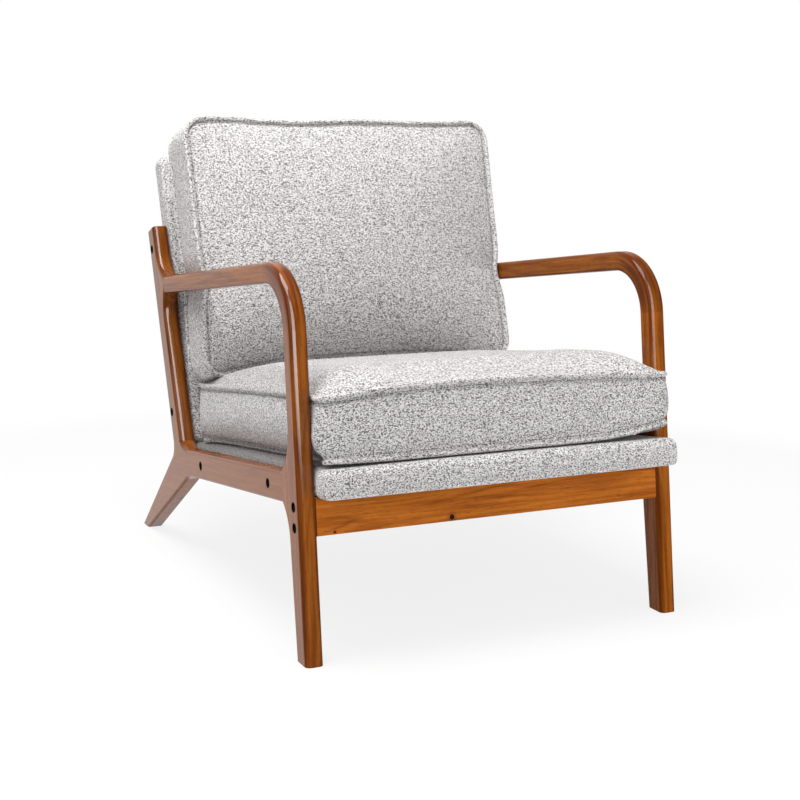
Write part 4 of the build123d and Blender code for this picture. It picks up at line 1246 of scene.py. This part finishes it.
back, back_shell = back_cushion()
keep_clear(back, [panel, seat, *wooden])
pucker(back, back_shell, *BACK_PUCKER)
back_lines = [back_shell.ring(high, 2) for high in (True, False)]
# Painted shade along the back cushion's stitched lines.
sink(back, np.concatenate(back_lines), STITCH_SINK, [(line, BACK_CREASE_SHADE) for line in back_lines])
sew("back", back, back_shell, [("front", -1, back_shell.ring(True, 2), "back_piping_front"),
                               ("rear", 0, back_shell.ring(False, 2), "back_piping_rear")], "back_cushion")
smoother(back)
dress(back, "back_cushion", 0.75, "back_cushion_cover", "back_cushion_core")


# Stage.


def studio_rays(tree):
    """Masks of the rays that see and of those that mirror, and what the mirroring ones meet."""
    rays = add(tree, "ShaderNodeLightPath").outputs
    seen = larger(tree, rays["Is Camera Ray"], rays["Is Transmission Ray"])
    incoming = add(tree, "ShaderNodeNewGeometry").outputs["Incoming"]
    studio, _ = use_group(tree, STUDIO, Incoming=incoming)
    return seen, rays["Is Glossy Ray"], times(tree, rays["Is Glossy Ray"], studio["Brightness"])


def stage_floor():
    """Pale floor with the chair's shadow, which runs out into white away from the chair."""
    corners = np.array([[-1, -1, 0], [1, -1, 0], [1, 1, 0], [-1, 1, 0]], float) * FLOOR_SIZE
    corners[:, 2] = -FLOOR_DROP
    floor = mesh_object("floor", corners, np.array([[0, 1, 2, 3]]))
    material, tree, shader = new_material("pale_floor", Base_Color=(0.86, 0.86, 0.86, 1.0), Roughness=0.9,
                                          Specular_IOR_Level=0.1)
    place = add(tree, "ShaderNodeTexCoord").outputs["Object"]
    apart = vector_math(tree, "LENGTH", place)["Value"]
    whole = larger(tree, soft_step(tree, apart, *FLOOR_FADE), FLOOR_LIFT)
    seen, glossy, mirrored = studio_rays(tree)
    strength = larger(tree, mirrored, seen)
    white = add(tree, "ShaderNodeEmission", Color=(1.0, 1.0, 1.0, 1.0), Strength=strength)
    share = larger(tree, glossy, times(tree, seen, whole))
    both = add(tree, "ShaderNodeMixShader")
    for socket, value in zip(both.inputs, (share, shader.outputs[0], white.outputs[0])):
        feed(tree, socket, value)
    output = next(node for node in tree.nodes if node.type == "OUTPUT_MATERIAL")
    connect(tree, output, Surface=both.outputs[0])
    floor.data.materials.append(material)


def stage_sky(level):
    """White surroundings: white to the eye, the studio's walls in reflections, and softer as light."""
    world = bpy.data.worlds.new("studio")
    scene.world = world
    world.use_nodes = True
    tree = world.node_tree
    tree.nodes.clear()
    seen, glossy, mirrored = studio_rays(tree)
    as_light = times(tree, minus(tree, 1.0, larger(tree, seen, glossy)), level)
    strength = plus(tree, larger(tree, seen, mirrored), as_light)
    sky = add(tree, "ShaderNodeBackground", Color=(1.0, 1.0, 1.0, 1.0), Strength=strength)
    add(tree, "ShaderNodeOutputWorld", Surface=sky.outputs[0])


def softbox(name, place, aim, size, power, mirrored=True):
    """Oblong soft lamp that points at a place."""
    lamp = bpy.data.lights.new(name, "AREA")
    lamp.shape = "RECTANGLE"
    lamp.size, lamp.size_y = size
    lamp.energy = power
    made = add_object(name, lamp)
    made.location = place
    made.rotation_euler = (Vector(aim) - Vector(place)).to_track_quat("-Z", "Y").to_euler()
    made.visible_glossy = mirrored


def photo_camera():
    """Camera at the photograph's place, lens and framing."""
    yaw, drop, roll = (math.radians(angle) for angle in (VIEW_YAW, VIEW_DROP, VIEW_ROLL))
    ahead = np.array([math.cos(drop) * math.sin(yaw), math.cos(drop) * math.cos(yaw), -math.sin(drop)])
    right = np.array([math.cos(yaw), -math.sin(yaw), 0.0])
    up = np.cross(right, ahead)
    rolled_right = math.cos(roll) * right + math.sin(roll) * up
    rolled_up = -math.sin(roll) * right + math.cos(roll) * up
    front_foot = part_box("front_leg_left")[0].y
    camera = bpy.data.cameras.new("photo_camera")
    camera.sensor_width = SENSOR
    camera.lens = SENSOR * FOCAL_PIXELS / PHOTO_PIXELS
    camera.shift_x = (PHOTO_PIXELS / 2 - VIEW_CENTRE[0]) / PHOTO_PIXELS
    camera.shift_y = (VIEW_CENTRE[1] - PHOTO_PIXELS / 2) / PHOTO_PIXELS
    camera.clip_end = 50.0
    made = add_object("photo_camera", camera)
    matrix = Matrix.Identity(4)
    for column, axis in enumerate((rolled_right, rolled_up, -ahead)):
        for line in range(3):
            matrix[line][column] = axis[line]
    matrix.translation = (CAMERA_PLACE[0], CAMERA_PLACE[1] + front_foot, CAMERA_PLACE[2])
    made.matrix_world = matrix
    scene.camera = made


stage_floor()
stage_sky(SKY_LEVEL)
softbox("overhead", (-0.6, -0.25, 2.6), aim=(0.0, 0.0, 0.4), size=(1.6, 1.6), power=75.0)
softbox("front_fill", (0.8, -1.8, 0.3), aim=(0.1, -0.4, 0.32), size=(1.2, 0.5), power=9.0, mirrored=False)
softbox("left_fill", (-1.6, -0.8, 2.4), aim=(0.0, 0.0, 0.4), size=(1.4, 1.4), power=11.0, mirrored=False)
photo_camera()
scene.view_settings.view_transform = "Standard"

bpy.context.view_layer.update()
